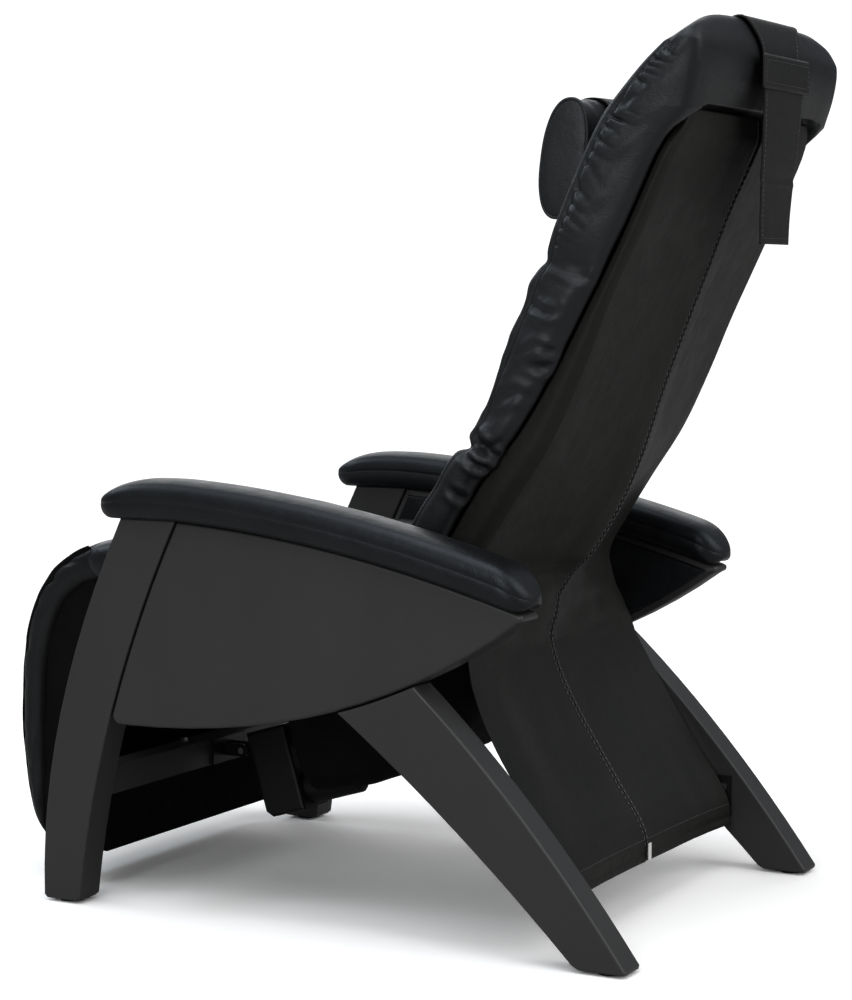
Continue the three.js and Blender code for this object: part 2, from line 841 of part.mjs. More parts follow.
const legrestBoxHalf = legrestPlateX - restGap;
const legrestBoxDepth = legrestBoxRearY - legrestBoxFrontY;
const legrestBoxHeight = legrestBoxTop - legrestBottom;
const legrestBox = plate(
  rectangle(legrestBoxFrontY, legrestBottom, legrestBoxDepth, legrestBoxHeight),
  -legrestBoxHalf,
  2 * legrestBoxHalf,
  legrestEdgeRound,
  1,
);
const legrestHollow = plate(
  rectangle(
    legrestBoxFrontY - overrun,
    legrestBottom + legrestWall,
    legrestBoxDepth + overrun - legrestWall,
    legrestBoxHeight - 2 * legrestWall,
  ),
  -legrestBoxHalf + legrestWall,
  2 * (legrestBoxHalf - legrestWall),
);
addPiece("legrest_frame", cut(legrestBox, legrestHollow), "cover");

const legrestPlateWidth = railHeight;
const legrestPlateOutline = [
  [kneeY - legrestPlateWidth / 2, kneeHeight],
  [kneeY - legrestPlateWidth / 2, legrestBottom + legrestBoxHeight / 2],
  [kneeY + legrestPlateWidth / 2, legrestBottom + legrestBoxHeight / 2],
  [kneeY + legrestPlateWidth / 2, kneeHeight],
];
for (const [name, side] of sides) {
  const near = nearSide(side, legrestPlateX, plateThickness);
  const hinged = join(
    plate(legrestPlateOutline, near, plateThickness),
    roundBar(knee, kneeEyeRadius, near, near + plateThickness),
  );
  addPiece(name + "_legrest_plate", cut(hinged, kneeHole(kneeBearing)), "steel");
}

// The pad's face and back lines hang below the knee; its sewn channels are evenly spaced
const padBackY = legrestBoxFrontY - restGap;
const legrestFaceShares = [
  [0.5, 1],
  [0.74, 0.925],
  [0.9, 0.81],
  [0.98, 0.68],
  [1, 0.56],
  [0.96, 0.43],
  [0.88, 0.3],
  [0.76, 0.17],
  [0.56, 0.08],
  [0.16, 0],
];
const legrestTopShare = 0.35;
const legrestPadTop = kneeHeight - kneeRollRadius * legrestTopShare;
const legrestPadBottom = legrestBottom + legrestEdgeRound;
const legrestFace = smoothLine(
  legrestFaceShares.map(([reach, rise]) => [
    padBackY - legrestFaceReach * reach,
    legrestPadBottom + (legrestPadTop - legrestPadBottom) * rise,
  ]),
);
const channelCount = 3;
const channelPitch = (legrestPadTop - legrestPadBottom) / (channelCount + 1);
const channelWidthShare = 0.16;
const legrestEndShare = 0.97;
const legrestSteps = 28;
const legrestRings = sample((t) => t, 0, 1, legrestSteps).map((t) => {
  const [faceY, faceZ] = legrestFace(t);
  const fromTop = (legrestPadTop - faceZ) / channelPitch;
  const nearest = Math.min(Math.max(Math.round(fromTop), 1), channelCount);
  const away = (fromTop - nearest) / channelWidthShare;
  const groove = channelDepth * Math.exp(-away * away);
  const backZ = Math.min(faceZ, legrestBoxTop);
  const atEnd = t * legrestSteps < 1 || (1 - t) * legrestSteps < 1;
  return padRing(
    [padBackY, backZ],
    [faceY + groove, faceZ],
    legrestHalfWidth * (atEnd ? legrestEndShare : 1) - groove / 2,
    seatCrown * Math.min(1, 3 * t, 6 * (1 - t)),
  );
});
addPiece("legrest_pad", loft(legrestRings), "leather");

// Back: face and back lines of the cushion, as shares of the back's run and rise from the hip
const fromHip = ([runShare, riseShare]) => [
  hipY + backRun * runShare,
  hipHeight + backRise * riseShare,
];
const backFaceShares = [
  [-0.179, 0.085],
  [-0.077, 0.184],
  [0.051, 0.268],
  [0.171, 0.348],
  [0.26, 0.456],
  [0.372, 0.577],
  [0.48, 0.689],
  [0.577, 0.793],
  [0.633, 0.841],
  [0.668, 0.865],
  [0.765, 0.917],
  [0.855, 0.955],
  [0.936, 0.985],
];
const backRearShares = [
  [-0.031, 0.066],
  [0.056, 0.156],
  [0.191, 0.259],
  [0.337, 0.345],
  [0.462, 0.441],
  [0.587, 0.551],
  [0.712, 0.663],
  [0.829, 0.78],
  [0.883, 0.832],
  [0.964, 0.856],
  [0.992, 0.909],
  [1, 0.957],
  [0.982, 0.996],
];
const backWidthShares = [0.94, 0.985, 0.985, 0.98, 0.985, 0.99, 1, 1, 1, 1, 0.985, 0.94, 0.82];
const backStations = backFaceShares.length - 1;
const lowerBackSteps = 8;
const backFace = smoothLine(backFaceShares.map(fromHip));
const backRearLow = smoothLine(backRearShares.slice(0, lowerBackSteps + 1).map(fromHip));
const backRearHigh = smoothLine(backRearShares.slice(lowerBackSteps + 1).map(fromHip));
const capSteps = backStations - lowerBackSteps - 1;
function backRear(station) {
  if (station <= lowerBackSteps) return backRearLow(station / lowerBackSteps);
  const [low, high] = [backRearLow(1), backRearHigh(0)];
  const step = Math.min(station - lowerBackSteps, 1);
  if (station >= lowerBackSteps + 1) return backRearHigh((station - lowerBackSteps - 1) / capSteps);
  return [0, 1].map((k) => low[k] + (high[k] - low[k]) * step);
}
function backWidth(station) {
  const low = Math.min(Math.floor(station), backStations - 1);
  const [a, b] = backWidthShares.slice(low, low + 2);
  return backHalfWidth * (a + (b - a) * (station - low));
}

// The seam across the cushion draws it in, and the cap is a full roll over the top
const crossSeamShare = 0.45;
const crossSeamDepth = 6;
const crossSeamSpread = 0.35;
const stationsPerStep = 2;
const backStationList = [
  ...sample((t) => t * lowerBackSteps, 0, 1, lowerBackSteps * stationsPerStep),
  ...sample((t) => lowerBackSteps + 1 + t * capSteps, 0, 1, capSteps * stationsPerStep),
];
function backFaceAt(station) {
  const point = backFace(station / backStations);
  const away = (station - crossSeamShare * backStations) / crossSeamSpread;
  return [point[0] + crossSeamDepth * Math.exp(-away * away), point[1]];
}
const backCrownShares = [0.4, 0.6];
const backCrownAt = (station) =>
  backCrown * Math.min(1, backCrownShares[0] + station, backCrownShares[1] + backStations - station);
const backRings = backStationList.map((station) =>
  padRing(backRear(station), backFaceAt(station), backWidth(station), backCrownAt(station)),
);
addPiece("back_cushion", loft(backRings), "leather");

// Lines parallel to the cushion's back, behind it
function behindBack(station, depth) {
  const step = 0.05;
  const [y0, z0] = backRearLow(Math.max(station - step, 0) / lowerBackSteps);
  const [y1, z1] = backRearLow(Math.min(station + step, lowerBackSteps) / lowerBackSteps);
  const length = Math.hypot(y1 - y0, z1 - z0);
  const [y, z] = backRearLow(station / lowerBackSteps);
  return [y + ((z1 - z0) / length) * depth, z - ((y1 - y0) / length) * depth];
}
const behindLine = (from, to, depth) =>
  evenly(from, to, (to - from) * stationsPerStep).map((station) => behindBack(station, depth));

const boardFront = 2 * restGap;
const boardRear = boardFront + backBoardThickness;
const boardHalfWidth = coverHalfWidth - coverWall - coverRidgeInset - 2 * restGap;
const [boardFromShare, boardToShare] = [0.0625, 0.9375];
const boardFromStation = boardFromShare * lowerBackSteps;
const boardToStation = boardToShare * lowerBackSteps;
addPiece(
  "back_board",
  plate(
    [
      ...behindLine(boardFromStation, boardToStation, boardFront),
      ...behindLine(boardFromStation, boardToStation, boardRear).reverse(),
    ],
    -boardHalfWidth,
    2 * boardHalfWidth,
  ),
  "board",
);

// Back plates on the hip shaft, behind the board
const plateFront = boardRear + restGap;
const [plateFromShare, plateToShare] = [0.1625, 0.5625];
const plateFromStation = plateFromShare * lowerBackSteps;
const plateToStation = plateToShare * lowerBackSteps;
const plateTaperShare = 0.7;
const plateRootShare = 0.7;
const backPlateRear = sample(
  (t) =>
    behindBack(
      plateFromStation + (plateToStation - plateFromStation) * t,
      plateFront + backPlateDepth * (1 - plateTaperShare * t),
    ),
  0,
  1,
  10,
);
const backPlateOutline = [
  [hipY - eyeRadius * plateRootShare, hipHeight],
  ...behindLine(boardFromStation, plateToStation, plateFront),
  ...backPlateRear.reverse(),
  [hipY + eyeRadius * plateRootShare, hipHeight],
];
for (const [name, side] of sides) {
  const near = nearSide(side, backPlateX, plateThickness);
  const hinged = join(
    plate(backPlateOutline, near, plateThickness),
    roundBar(hip, eyeRadius, near, near + plateThickness),
  );
  addPiece(name + "_back_plate", cut(hinged, shaftHole(hipShaftRadius + restGap)), "steel");
}
const betweenBackPlates = backPlateX - restGap;
const backTubeShare = 0.25;
addPiece(
  "back_cross_tube",
  roundBar(
    behindBack(backTubeShare * lowerBackSteps, plateFront + tubeRadius + restGap),
    tubeRadius,
    -betweenBackPlates,
    betweenBackPlates,
  ),
  "steel",
);

// Back cover: a shell whose sides run back to a ridge, with a convex middle
const coverDepthShares = [0.75, 1, 1, 0.78, 0.56, 0.43, 0.33, 0.29, 0.27];
const coverRidgeShares = [0.46, 0.48, 0.48, 0.4, 0.31, 0.22, 0.17, 0.16, 0.16];
const coverFromStation = boardFromStation;
const valueAt = (shares, station) => {
  const low = Math.min(Math.floor(station), shares.length - 2);
  return shares[low] + (shares[low + 1] - shares[low]) * (station - low);
};
const coverAcrossShares = [0.7, 0.45, 0.22, 0];
const coverSideShares = [0.7, 0.62];
function coverRow(station, inset) {
  const depth = coverDepth * valueAt(coverDepthShares, station) - inset;
  const ridge = coverDepth * valueAt(coverRidgeShares, station) - inset;
  const width = coverHalfWidth - inset;
  const ridgeX = width - coverRidgeInset;
  const half = [
    [width, 2 * restGap],
    [ridgeX + coverRidgeInset * coverSideShares[0], ridge * coverSideShares[1]],
    [ridgeX, ridge],
    ...coverAcrossShares.map((share) => {
      const across = (share * width) / ridgeX;
      return [share * width, ridge + (depth - ridge) * (1 - across * across)];
    }),
  ];
  const row = [
    ...half,
    ...half
      .slice(0, -1)
      .reverse()
      .map(([x, n]) => [-x, n]),
  ];
  return row.map(([x, n]) => {
    const [y, z] = behindBack(station, n);
    return new THREE.Vector3(x, y, z);
  });
}
const coverStations = evenly(
  coverFromStation,
  lowerBackSteps,
  (lowerBackSteps - coverFromStation) * stationsPerStep,
);
addPiece(
  "back_cover",
  thickSheet(
    coverStations.map((station) => coverRow(station, 0)),
    coverStations.map((station) => coverRow(station, coverWall)),
  ),
  "cover",
);

// Rear skirt: the sheet has shallow folds that grow towards the hem
const skirtAcross = 20;
const skirtFoldCount = 5;
const skirtFlareShare = 0.55;
const skirtWrapPower = 10;
function skirtGrid(depth) {
  return sample((t) => t, 0, 1, curveSteps).map((t) => {
    const [y, z] = skirtLine(t);
    const flare = Math.min(1, t / skirtFlareShare);
    const halfWidth = skirtTopHalfWidth + (skirtLowHalfWidth - skirtTopHalfWidth) * flare;
    return sample((s) => 2 * s - 1, 0, 1, skirtAcross).map((share) => {
      const fold = (Math.sin(share * Math.PI * skirtFoldCount) * skirtFoldDepth * t) / 2;
      const wrap = -2 * skirtFoldDepth * Math.pow(Math.abs(share), skirtWrapPower) * (1 - t);
      return new THREE.Vector3(share * halfWidth, y + fold + wrap + depth, z);
    });
  });
}
addPiece("rear_skirt", thickSheet(skirtGrid(skirtThickness), skirtGrid(0)), "cover");

// The pull at the bottom of the skirt's middle slit
const pullWidth = 9;
const pullHeight = 24;
const pullThickness = 1.5;
const pullRiseShare = 0.6;
const pull = new THREE.BoxGeometry(pullWidth, pullThickness, pullHeight);
pull.translate(
  0,
  skirtBottomY + skirtThickness + restGap + pullThickness / 2,
  skirtBottomHeight + pullHeight * pullRiseShare,
);
addPiece("zip_pull", pull, "tag");

// Head strap over the top of the cushion, the tail behind it, and the tab on the pillow
const strapFrontShare = 37 / 60;
function capOutline() {
  const stations = evenly(strapFrontShare * backStations, backStations, 12);
  const front = stations.map((station) => {
    const [rear, face] = [backRear(station), backFaceAt(station)];
    const lift = backCrownAt(station) / Math.hypot(face[0] - rear[0], face[1] - rear[1]);
    return [face[0] + (face[0] - rear[0]) * lift, face[1] + (face[1] - rear[1]) * lift];
  });
  return [...front, ...evenly(1, 0, 6).map(backRearHigh)];
}

// The strap rides over the top, and hangs straight down from its rearmost point
function strapRoute() {
  const over = capOutline();
  const rearmost = Math.max(...over.map(([y]) => y));
  const turn = over.findIndex(([y]) => y === rearmost);
  const down = evenly(over[turn][1], strapRearBottom, 3).slice(1);
  return [...over.slice(0, turn + 1), ...down.map((z) => [rearmost, z])];
}
const strapRide = strapRoute();
function offsetLine(line, distance) {
  return line.map(([y, z], i) => {
    const [y0, z0] = line[Math.max(i - 1, 0)];
    const [y1, z1] = line[Math.min(i + 1, line.length - 1)];
    const length = Math.hypot(y1 - y0, z1 - z0);
    return [y - ((z1 - z0) / length) * distance, z + ((y1 - y0) / length) * distance];
  });
}
const strapSheet = (inner, outer, widthAt) =>
  thickSheet(
    ...[outer, inner].map((line) =>
      line.map(([y, z], i) =>
        [-1, 1].map((side) => new THREE.Vector3(side * widthAt(i / (line.length - 1)), y, z)),
      ),
    ),
  );
const strapInner = offsetLine(strapRide, strapClear);
const strapOuter = offsetLine(strapRide, strapClear + strapThickness);
addPiece("head_strap", strapSheet(strapInner, strapOuter, () => strapWidth / 2), "cover");

const tailInnerY = Math.max(...strapOuter.map(([y]) => y)) + restGap;
const tailTaperShare = 0.1;
const tailLine = (y) =>
  sample((t) => [y, strapTailTop + (strapTailBottom - strapTailTop) * t], 0, 1, 6);
addPiece(
  "strap_tail",
  strapSheet(tailLine(tailInnerY), tailLine(tailInnerY + strapThickness), (t) => {
    const taper = Math.max(0, (t - tailTaperShare) / (1 - tailTaperShare));
    return (strapWidth + (strapTailWidth - strapWidth) * taper) / 2;
  }),
  "cover",
);

// Head pillow: a full oval roll that hangs against the cushion's face
const pillowCentre = fromHip([pillowRunShare, pillowRiseShare]);
const pillowLeanShare = 0.09;
const pillowEndShare = 0.3;
const pillowEndPower = 0.45;
const pillowFacePower = 0.9;
const pillowSteps = 16;
const pillowRound = 18;
function onPillow(turn, fullness) {
  const [c, s] = [Math.cos(turn), Math.sin(turn)];
  const bulge = Math.sign(c) * Math.pow(Math.abs(c), pillowFacePower);
  const forward = -(pillowThickness / 2) * fullness * bulge;
  const up = (pillowHeight / 2) * fullness * s;
  return [pillowCentre[0] + forward + up * pillowLeanShare, pillowCentre[1] + up];
}
const pillowRings = evenly(0, Math.PI, pillowSteps).map((angle) => {
  const x = (-pillowWidth / 2) * Math.cos(angle);
  const fullness = pillowEndShare + (1 - pillowEndShare) * Math.pow(Math.sin(angle), pillowEndPower);
  return evenly(0, 2 * Math.PI, pillowRound)
    .slice(0, -1)
    .map((turn) => new THREE.Vector3(x, ...onPillow(turn, fullness)));
});
addPiece("head_pillow", loft(pillowRings), "leather");

// The tab lies on the top of the pillow and leads back towards the cushion
const tabEndTurn = Math.PI * 0.72;
const tabRest = evenly(Math.PI / 2, tabEndTurn, 4).map((turn) => onPillow(turn, 1));
const tabRide = [...tabRest, [tabRest.at(-1)[0] + tabReach, tabRest.at(-1)[1] + tabReach / 4]];
addPiece(
  "pillow_tab",
  strapSheet(
    offsetLine(tabRide, 2 * restGap),
    offsetLine(tabRide, 2 * restGap + strapThickness),
    () => strapWidth / 2,
  ),
  "cover",
);

// Drive: a lever on the hip shaft is pulled by a linear drive that is hinged to the front bar
const leverTurn = (driveLeverAngle * Math.PI) / 180;
const leverPin = [
  hipY + driveLeverReach * Math.sin(leverTurn),
  hipHeight - driveLeverReach * Math.cos(leverTurn),
];
const drivePivot = [frontBarRearY + bracketReach, frontBarHeight + barHeight / 2];
const driveLength = Math.hypot(leverPin[0] - drivePivot[0], leverPin[1] - drivePivot[1]);
const driveForward = [
  (leverPin[0] - drivePivot[0]) / driveLength,
  (leverPin[1] - drivePivot[1]) / driveLength,
];
const onDrive = (along, up) => [
  drivePivot[0] + driveForward[0] * along - driveForward[1] * up,
  drivePivot[1] + driveForward[1] * along + driveForward[0] * up,
];
const driveAngle = Math.atan2(driveForward[1], driveForward[0]);

// A round body along the drive, as a turned profile of [along, radius] points
function turned(profile, up) {
  const geometry = new THREE.LatheGeometry(
    profile.map(([along, radius]) => new THREE.Vector2(radius, along)),
    roundSegments,
  );
  geometry.rotateX(driveAngle);
  return toGeometry(toSolid(geometry.translate(0, ...onDrive(0, up))));
}

const cheekGap = rodEyeThickness / 2 + 2 * restGap;
function leverCheek(side) {
  const near = nearSide(side, cheekGap, leverThickness);
  const across = [
    (leverPin[1] - hipHeight) / driveLeverReach,
    (hipY - leverPin[0]) / driveLeverReach,
  ];
  const corner = ([y, z], half) => [y + across[0] * half, z + across[1] * half];
  return join(
    plate(
      [
        corner(hip, leverHubRadius),
        corner(leverPin, leverTipRadius),
        corner(leverPin, -leverTipRadius),
        corner(hip, -leverHubRadius),
      ],
      near,
      leverThickness,
    ),
    roundBar(hip, eyeRadius, near, near + leverThickness),
    roundBar(leverPin, leverTipRadius, near, near + leverThickness),
  );
}
const leverHub = roundBar(hip, leverHubRadius, -cheekGap - overrun, cheekGap + overrun);
const leverBody = join(leverCheek(1), leverCheek(-1), leverHub);
addPiece(
  "drive_lever",
  cut(
    leverBody,
    shaftHole(hipShaftRadius + restGap),
    roundBar(leverPin, pinRadius + restGap, -outerX, outerX),
  ),
  "steel",
);
const pinHalf = cheekGap + leverThickness + pinMargin;
addPiece("lever_pin", roundBar(leverPin, pinRadius, -pinHalf, pinHalf), "zinc");

// Rod: its eye is larger than the lever pin by the open pivot's clearance
const rodEnd = driveLength - 2 * rodEyeRadius;
const tangHalf = rodEyeThickness / 2;
const rodBody = join(
  plate(
    [
      onDrive(rodEnd - overrun, -tangHalf),
      onDrive(driveLength, -tangHalf),
      onDrive(driveLength, tangHalf),
      onDrive(rodEnd - overrun, tangHalf),
    ],
    -tangHalf,
    rodEyeThickness,
  ),
  turned(
    [
      [rodStart, 0],
      [rodStart, rodRadius - restGap],
      [rodEnd, rodRadius - restGap],
      [rodEnd, 0],
    ],
    0,
  ),
  roundBar(leverPin, rodEyeRadius, -tangHalf, tangHalf),
);
addPiece(
  "drive_rod",
  cut(rodBody, roundBar(leverPin, pinRadius + openPivotClearance, -outerX, outerX)),
  "zinc",
);

const tubeBottom = outerTubeStart + restGap + outerTubeFloor;
addPiece(
  "drive_tube",
  turned(
    [
      [outerTubeStart + restGap, 0],
      [outerTubeStart + restGap, outerTubeRadius],
      [outerTubeEnd, outerTubeRadius],
      [outerTubeEnd, rodRadius],
      [tubeBottom, rodRadius],
      [tubeBottom, 0],
    ],
    0,
  ),
  "plastic",
);
addPiece(
  "drive_motor",
  turned(
    [
      [outerTubeStart + restGap, 0],
      [outerTubeStart + restGap, motorRadius],
      [outerTubeStart + motorLength - motorEndRound, motorRadius],
      [outerTubeStart + motorLength, motorRadius - motorEndRound],
      [outerTubeStart + motorLength, 0],
    ],
    -motorDrop,
  ),
  "plastic",
);

const gearboxOutline = [
  onDrive(gearboxStart, -gearboxDrop + gearboxCorner),
  onDrive(gearboxStart + gearboxCorner, -gearboxDrop),
  onDrive(outerTubeStart, -gearboxDrop),
  onDrive(outerTubeStart, gearboxRise),
  onDrive(gearboxStart, gearboxRise),
];
const earHalf = rodEyeThickness / 2;
const gearboxEar = join(
  plate(
    [
      onDrive(0, -earRadius),
      onDrive(gearboxStart + overrun, -earRadius),
      onDrive(gearboxStart + overrun, earRadius),
      onDrive(0, earRadius),
    ],
    -earHalf,
    2 * earHalf,
  ),
  roundBar(drivePivot, earRadius, -earHalf, earHalf),
);
addPiece(
  "drive_gearbox",
  cut(
    join(
      plate(gearboxOutline, -gearboxHalfWidth, 2 * gearboxHalfWidth, gearboxEdgeRound, 2),
      gearboxEar,
    ),
    roundBar(drivePivot, pinRadius + runningGap, -outerX, outerX),
  ),
  "plastic",
);

// Socket for the lead, on the side of the gearbox
const socketAt = onDrive((gearboxStart + outerTubeStart) / 2, -gearboxDrop / 2);
const socketInner = -gearboxHalfWidth - restGap;
addPiece(
  "drive_socket",
  roundBar(socketAt, socketRadius, socketInner - socketLength, socketInner),
  "plastic",
);

// Bracket on the front bar with two ears, its pin and the bolt that shows from behind
const bracketFrom = frontBarRearY + restGap;
const bracketHalfHeight = barHeight / 2 - restGap;
const bracketBase = plate(
  rectangle(
    bracketFrom,
    drivePivot[1] - bracketHalfHeight,
    bracketThickness,
    2 * bracketHalfHeight,
  ),
  -driveBracketWidth / 2,
  driveBracketWidth,
);
const bracketEars = [1, -1].map((side) => {
  const near = nearSide(side, earHalf + runningGap, bracketEar);
  return join(
    plate(
      [
        [bracketFrom, drivePivot[1] - earRadius],
        [drivePivot[0], drivePivot[1] - earRadius],
        [drivePivot[0], drivePivot[1] + earRadius],
        [bracketFrom, drivePivot[1] + earRadius],
      ],
      near,
      bracketEar,
    ),
    roundBar(drivePivot, earRadius, near, near + bracketEar),
  );
});
addPiece(
  "drive_bracket",
  cut(join(bracketBase, ...bracketEars), roundBar(drivePivot, pinRadius + restGap, -outerX, outerX)),
  "steel",
);
const pivotPinHalf = earHalf + bracketEar + pinMargin;
addPiece("drive_pivot_pin", roundBar(drivePivot, pinRadius, -pivotPinHalf, pivotPinHalf), "zinc");

// Bolts that hold the bracket, standing on the front bar
for (const [name, side] of sides) {
  const barBolt = new THREE.CylinderGeometry(boltRadius, boltRadius, 2 * boltHeadHeight, 6);
  barBolt.rotateX(Math.PI / 2);
  barBolt.translate(
    side * frontBarBoltX,
    frontBarRearY - barDepth / 2,
    frontBarHeight + barHeight + restGap + boltHeadHeight,
  );
  addPiece(name + "_front_bar_bolt", barBolt, "zinc");
}

// The origin is the middle of the floor area that the recliner covers
recliner.updateMatrixWorld(true);
const reach = new THREE.Box3().setFromObject(recliner);
recliner.position.y = -(reach.min.y + reach.max.y) / 2;
recliner.updateMatrixWorld(true);

export default recliner;
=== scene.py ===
"""Looks of the power zero gravity recliner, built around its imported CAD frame.

Shapes are drawn in millimetres, as the CAD part is, and moved into the frame's metres when a mesh is made.
The sitter faces -Y, and +X is the sitter's left. Points of the side view are (y, z).
"""

import json
import math

import bmesh
import bpy
import numpy as np
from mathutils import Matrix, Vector


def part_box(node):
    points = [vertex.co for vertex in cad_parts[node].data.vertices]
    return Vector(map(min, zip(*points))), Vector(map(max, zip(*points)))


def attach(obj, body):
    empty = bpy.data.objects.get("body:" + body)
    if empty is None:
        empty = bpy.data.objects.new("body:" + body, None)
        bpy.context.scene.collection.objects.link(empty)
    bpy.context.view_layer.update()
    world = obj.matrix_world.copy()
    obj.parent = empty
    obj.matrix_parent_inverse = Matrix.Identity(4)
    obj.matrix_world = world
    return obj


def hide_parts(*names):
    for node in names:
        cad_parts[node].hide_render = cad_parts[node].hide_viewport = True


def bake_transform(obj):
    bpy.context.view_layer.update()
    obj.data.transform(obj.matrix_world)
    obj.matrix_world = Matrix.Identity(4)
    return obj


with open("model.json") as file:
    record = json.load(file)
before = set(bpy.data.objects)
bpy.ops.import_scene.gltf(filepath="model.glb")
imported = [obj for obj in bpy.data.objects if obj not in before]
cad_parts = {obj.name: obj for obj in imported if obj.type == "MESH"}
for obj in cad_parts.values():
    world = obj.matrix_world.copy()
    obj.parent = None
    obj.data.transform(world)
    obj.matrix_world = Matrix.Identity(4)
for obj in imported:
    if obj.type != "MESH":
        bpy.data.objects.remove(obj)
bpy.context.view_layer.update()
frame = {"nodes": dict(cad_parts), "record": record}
scene = bpy.context.scene

MM = 0.001
HIP = np.array([130.0, 420.0])
KNEE = np.array([-482.0, 432.0])
hip_low, hip_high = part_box("hip_shaft")
SHIFT = (hip_low.y + hip_high.y) / 2 / MM - HIP[0]
SIDES = (("left", 1), ("right", -1))

# Camera, as fitted to the photo: degrees round and above, lens and sensor in millimetres, place in metres
CAMERA_ROUND, CAMERA_ABOVE = 118.35, 4.77
CAMERA_LENS, CAMERA_SENSOR = 93.09, 36
CAMERA_PLACE = (3.3632, 1.7986, 0.8958)


def make_camera():
    around, above = math.radians(CAMERA_ROUND), math.radians(CAMERA_ABOVE)
    level = math.cos(above)
    back = Vector((math.sin(around) * level, -math.cos(around) * level, math.sin(above)))
    data = bpy.data.cameras.new("camera")
    data.lens = CAMERA_LENS
    data.sensor_width = CAMERA_SENSOR
    camera = bpy.data.objects.new("camera", data)
    x, y, z = CAMERA_PLACE
    camera.location = (x, y + SHIFT * MM, z)
    camera.rotation_euler = (-back).to_track_quat("-Z", "Y").to_euler()
    scene.collection.objects.link(camera)
    scene.camera = camera


make_camera()


# Lines and noise
def smooth_line(points):
    """A centripetal Catmull-Rom line through points, read at t from 0 to 1."""
    pts = np.array(points, float)
    ends = np.vstack([2 * pts[0] - pts[1], pts, 2 * pts[-1] - pts[-2]])
    last = len(pts) - 1
    least = 1e-4

    def at(t):
        t = np.clip(np.asarray(t, float), 0, 1) * last
        i = np.minimum(t.astype(int), last - 1)
        w = (t - i)[..., None]
        p0, p1, p2, p3 = (ends[i + k] for k in range(4))
        d0, d1, d2 = (
            np.maximum(np.sqrt(np.linalg.norm(b - a, axis=-1)), least)[..., None]
            for a, b in ((p0, p1), (p1, p2), (p2, p3))
        )
        t1 = ((p1 - p0) / d0 - (p2 - p0) / (d0 + d1) + (p2 - p1) / d1) * d1
        t2 = ((p2 - p1) / d1 - (p3 - p1) / (d1 + d2) + (p3 - p2) / d2) * d1
        c2 = 3 * (p2 - p1) - 2 * t1 - t2
        c3 = 2 * (p1 - p2) + t1 + t2
        return p1 + t1 * w + c2 * w**2 + c3 * w**3

    return at


def run_of(points):
    """How far along a line each of its points lies."""
    return np.concatenate([[0], np.cumsum(np.linalg.norm(np.diff(points, axis=0), axis=1))])


def resample(points, count, closed=False):
    """The same line with evenly spaced points."""
    pts = np.array(points, float)
    if closed:
        pts = np.vstack([pts, pts[:1]])
    run = run_of(pts)
    at = np.linspace(0, run[-1], count, endpoint=not closed)
    return np.stack([np.interp(at, run, pts[:, k]) for k in range(pts.shape[1])], 1)


def outward_of(along):
    """The way out of the back, square to a way along it in the side view."""
    return np.stack([along[..., 1], -along[..., 0]], -1)


def bump(x, middle, width):
    """A bell, one high."""
    return np.exp(-(((x - middle) / width) ** 2))


def ease(x, low, high):
    """A smooth step from 0 to 1."""
    t = np.clip((x - low) / (high - low), 0, 1)
    return t * t * (3 - 2 * t)


def noise(u, v, seed):
    """Smooth noise from -1 to 1 on a plane, one bump to a unit."""
    size = 64
    table = np.random.default_rng(seed).uniform(-1, 1, (size, size))
    i, j = np.floor(u).astype(int), np.floor(v).astype(int)
    a, b = ease(u - i, 0, 1), ease(v - j, 0, 1)
    near = table[i % size, j % size] * (1 - a) + table[(i + 1) % size, j % size] * a
    far = table[i % size, (j + 1) % size] * (1 - a) + table[(i + 1) % size, (j + 1) % size] * a
    return near * (1 - b) + far * b


# Grids of points become meshes
def grid_normals(grid, wrap=False, inside=None):
    """Unit normals of a grid, pointing away from the inside points where they are given."""
    down = np.gradient(grid, axis=0)
    if wrap:
        across = (np.roll(grid, -1, 1) - np.roll(grid, 1, 1)) / 2
    else:
        across = np.gradient(grid, axis=1)
    normal = np.cross(down, across)
    normal /= np.maximum(np.linalg.norm(normal, axis=2, keepdims=True), 1e-9)
    if inside is not None:
        outward = ((grid - inside) * normal).sum(2, keepdims=True)
        normal = normal * (1 if outward.mean() > 0 else -1)
    return normal


def quads(rows, columns, wrap):
    """The faces between the points of a grid, counted row by row."""
    r, c = np.meshgrid(np.arange(rows - 1), np.arange(columns if wrap else columns - 1), indexing="ij")
    n = (c + 1) % columns
    faces = np.stack([r * columns + c, r * columns + n, (r + 1) * columns + n, (r + 1) * columns + c], -1)
    return faces.reshape(-1, 4).tolist()


def new_piece(name, points, faces, material, body):
    """A closed mesh from points in the part's millimetres; without a body it is attached to none."""
    mesh = bpy.data.meshes.new(name)
    moved = (np.asarray(points, float).reshape(-1, 3) + [0, SHIFT, 0]) * MM
    mesh.from_pydata(moved.tolist(), [], faces)
    work = bmesh.new()
    work.from_mesh(mesh)
    bmesh.ops.recalc_face_normals(work, faces=work.faces)
    work.to_mesh(mesh)
    work.free()
    mesh.shade_smooth()
    mesh.materials.append(material)
    piece = bpy.data.objects.new(name, mesh)
    scene.collection.objects.link(piece)
    if body:
        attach(piece, body)
    return piece


def closed_loft(name, grid, material, body):
    """A loft of closed rings with a fan over each end."""
    rows, columns = grid.shape[:2]
    points = np.vstack([grid.reshape(-1, 3), grid[0].mean(0), grid[-1].mean(0)])
    faces = quads(rows, columns, True)
    for row, centre in ((0, rows * columns), (rows - 1, rows * columns + 1)):
        first = row * columns
        faces += [[first + i, first + (i + 1) % columns, centre] for i in range(columns)]
    return new_piece(name, points, faces, material, body)


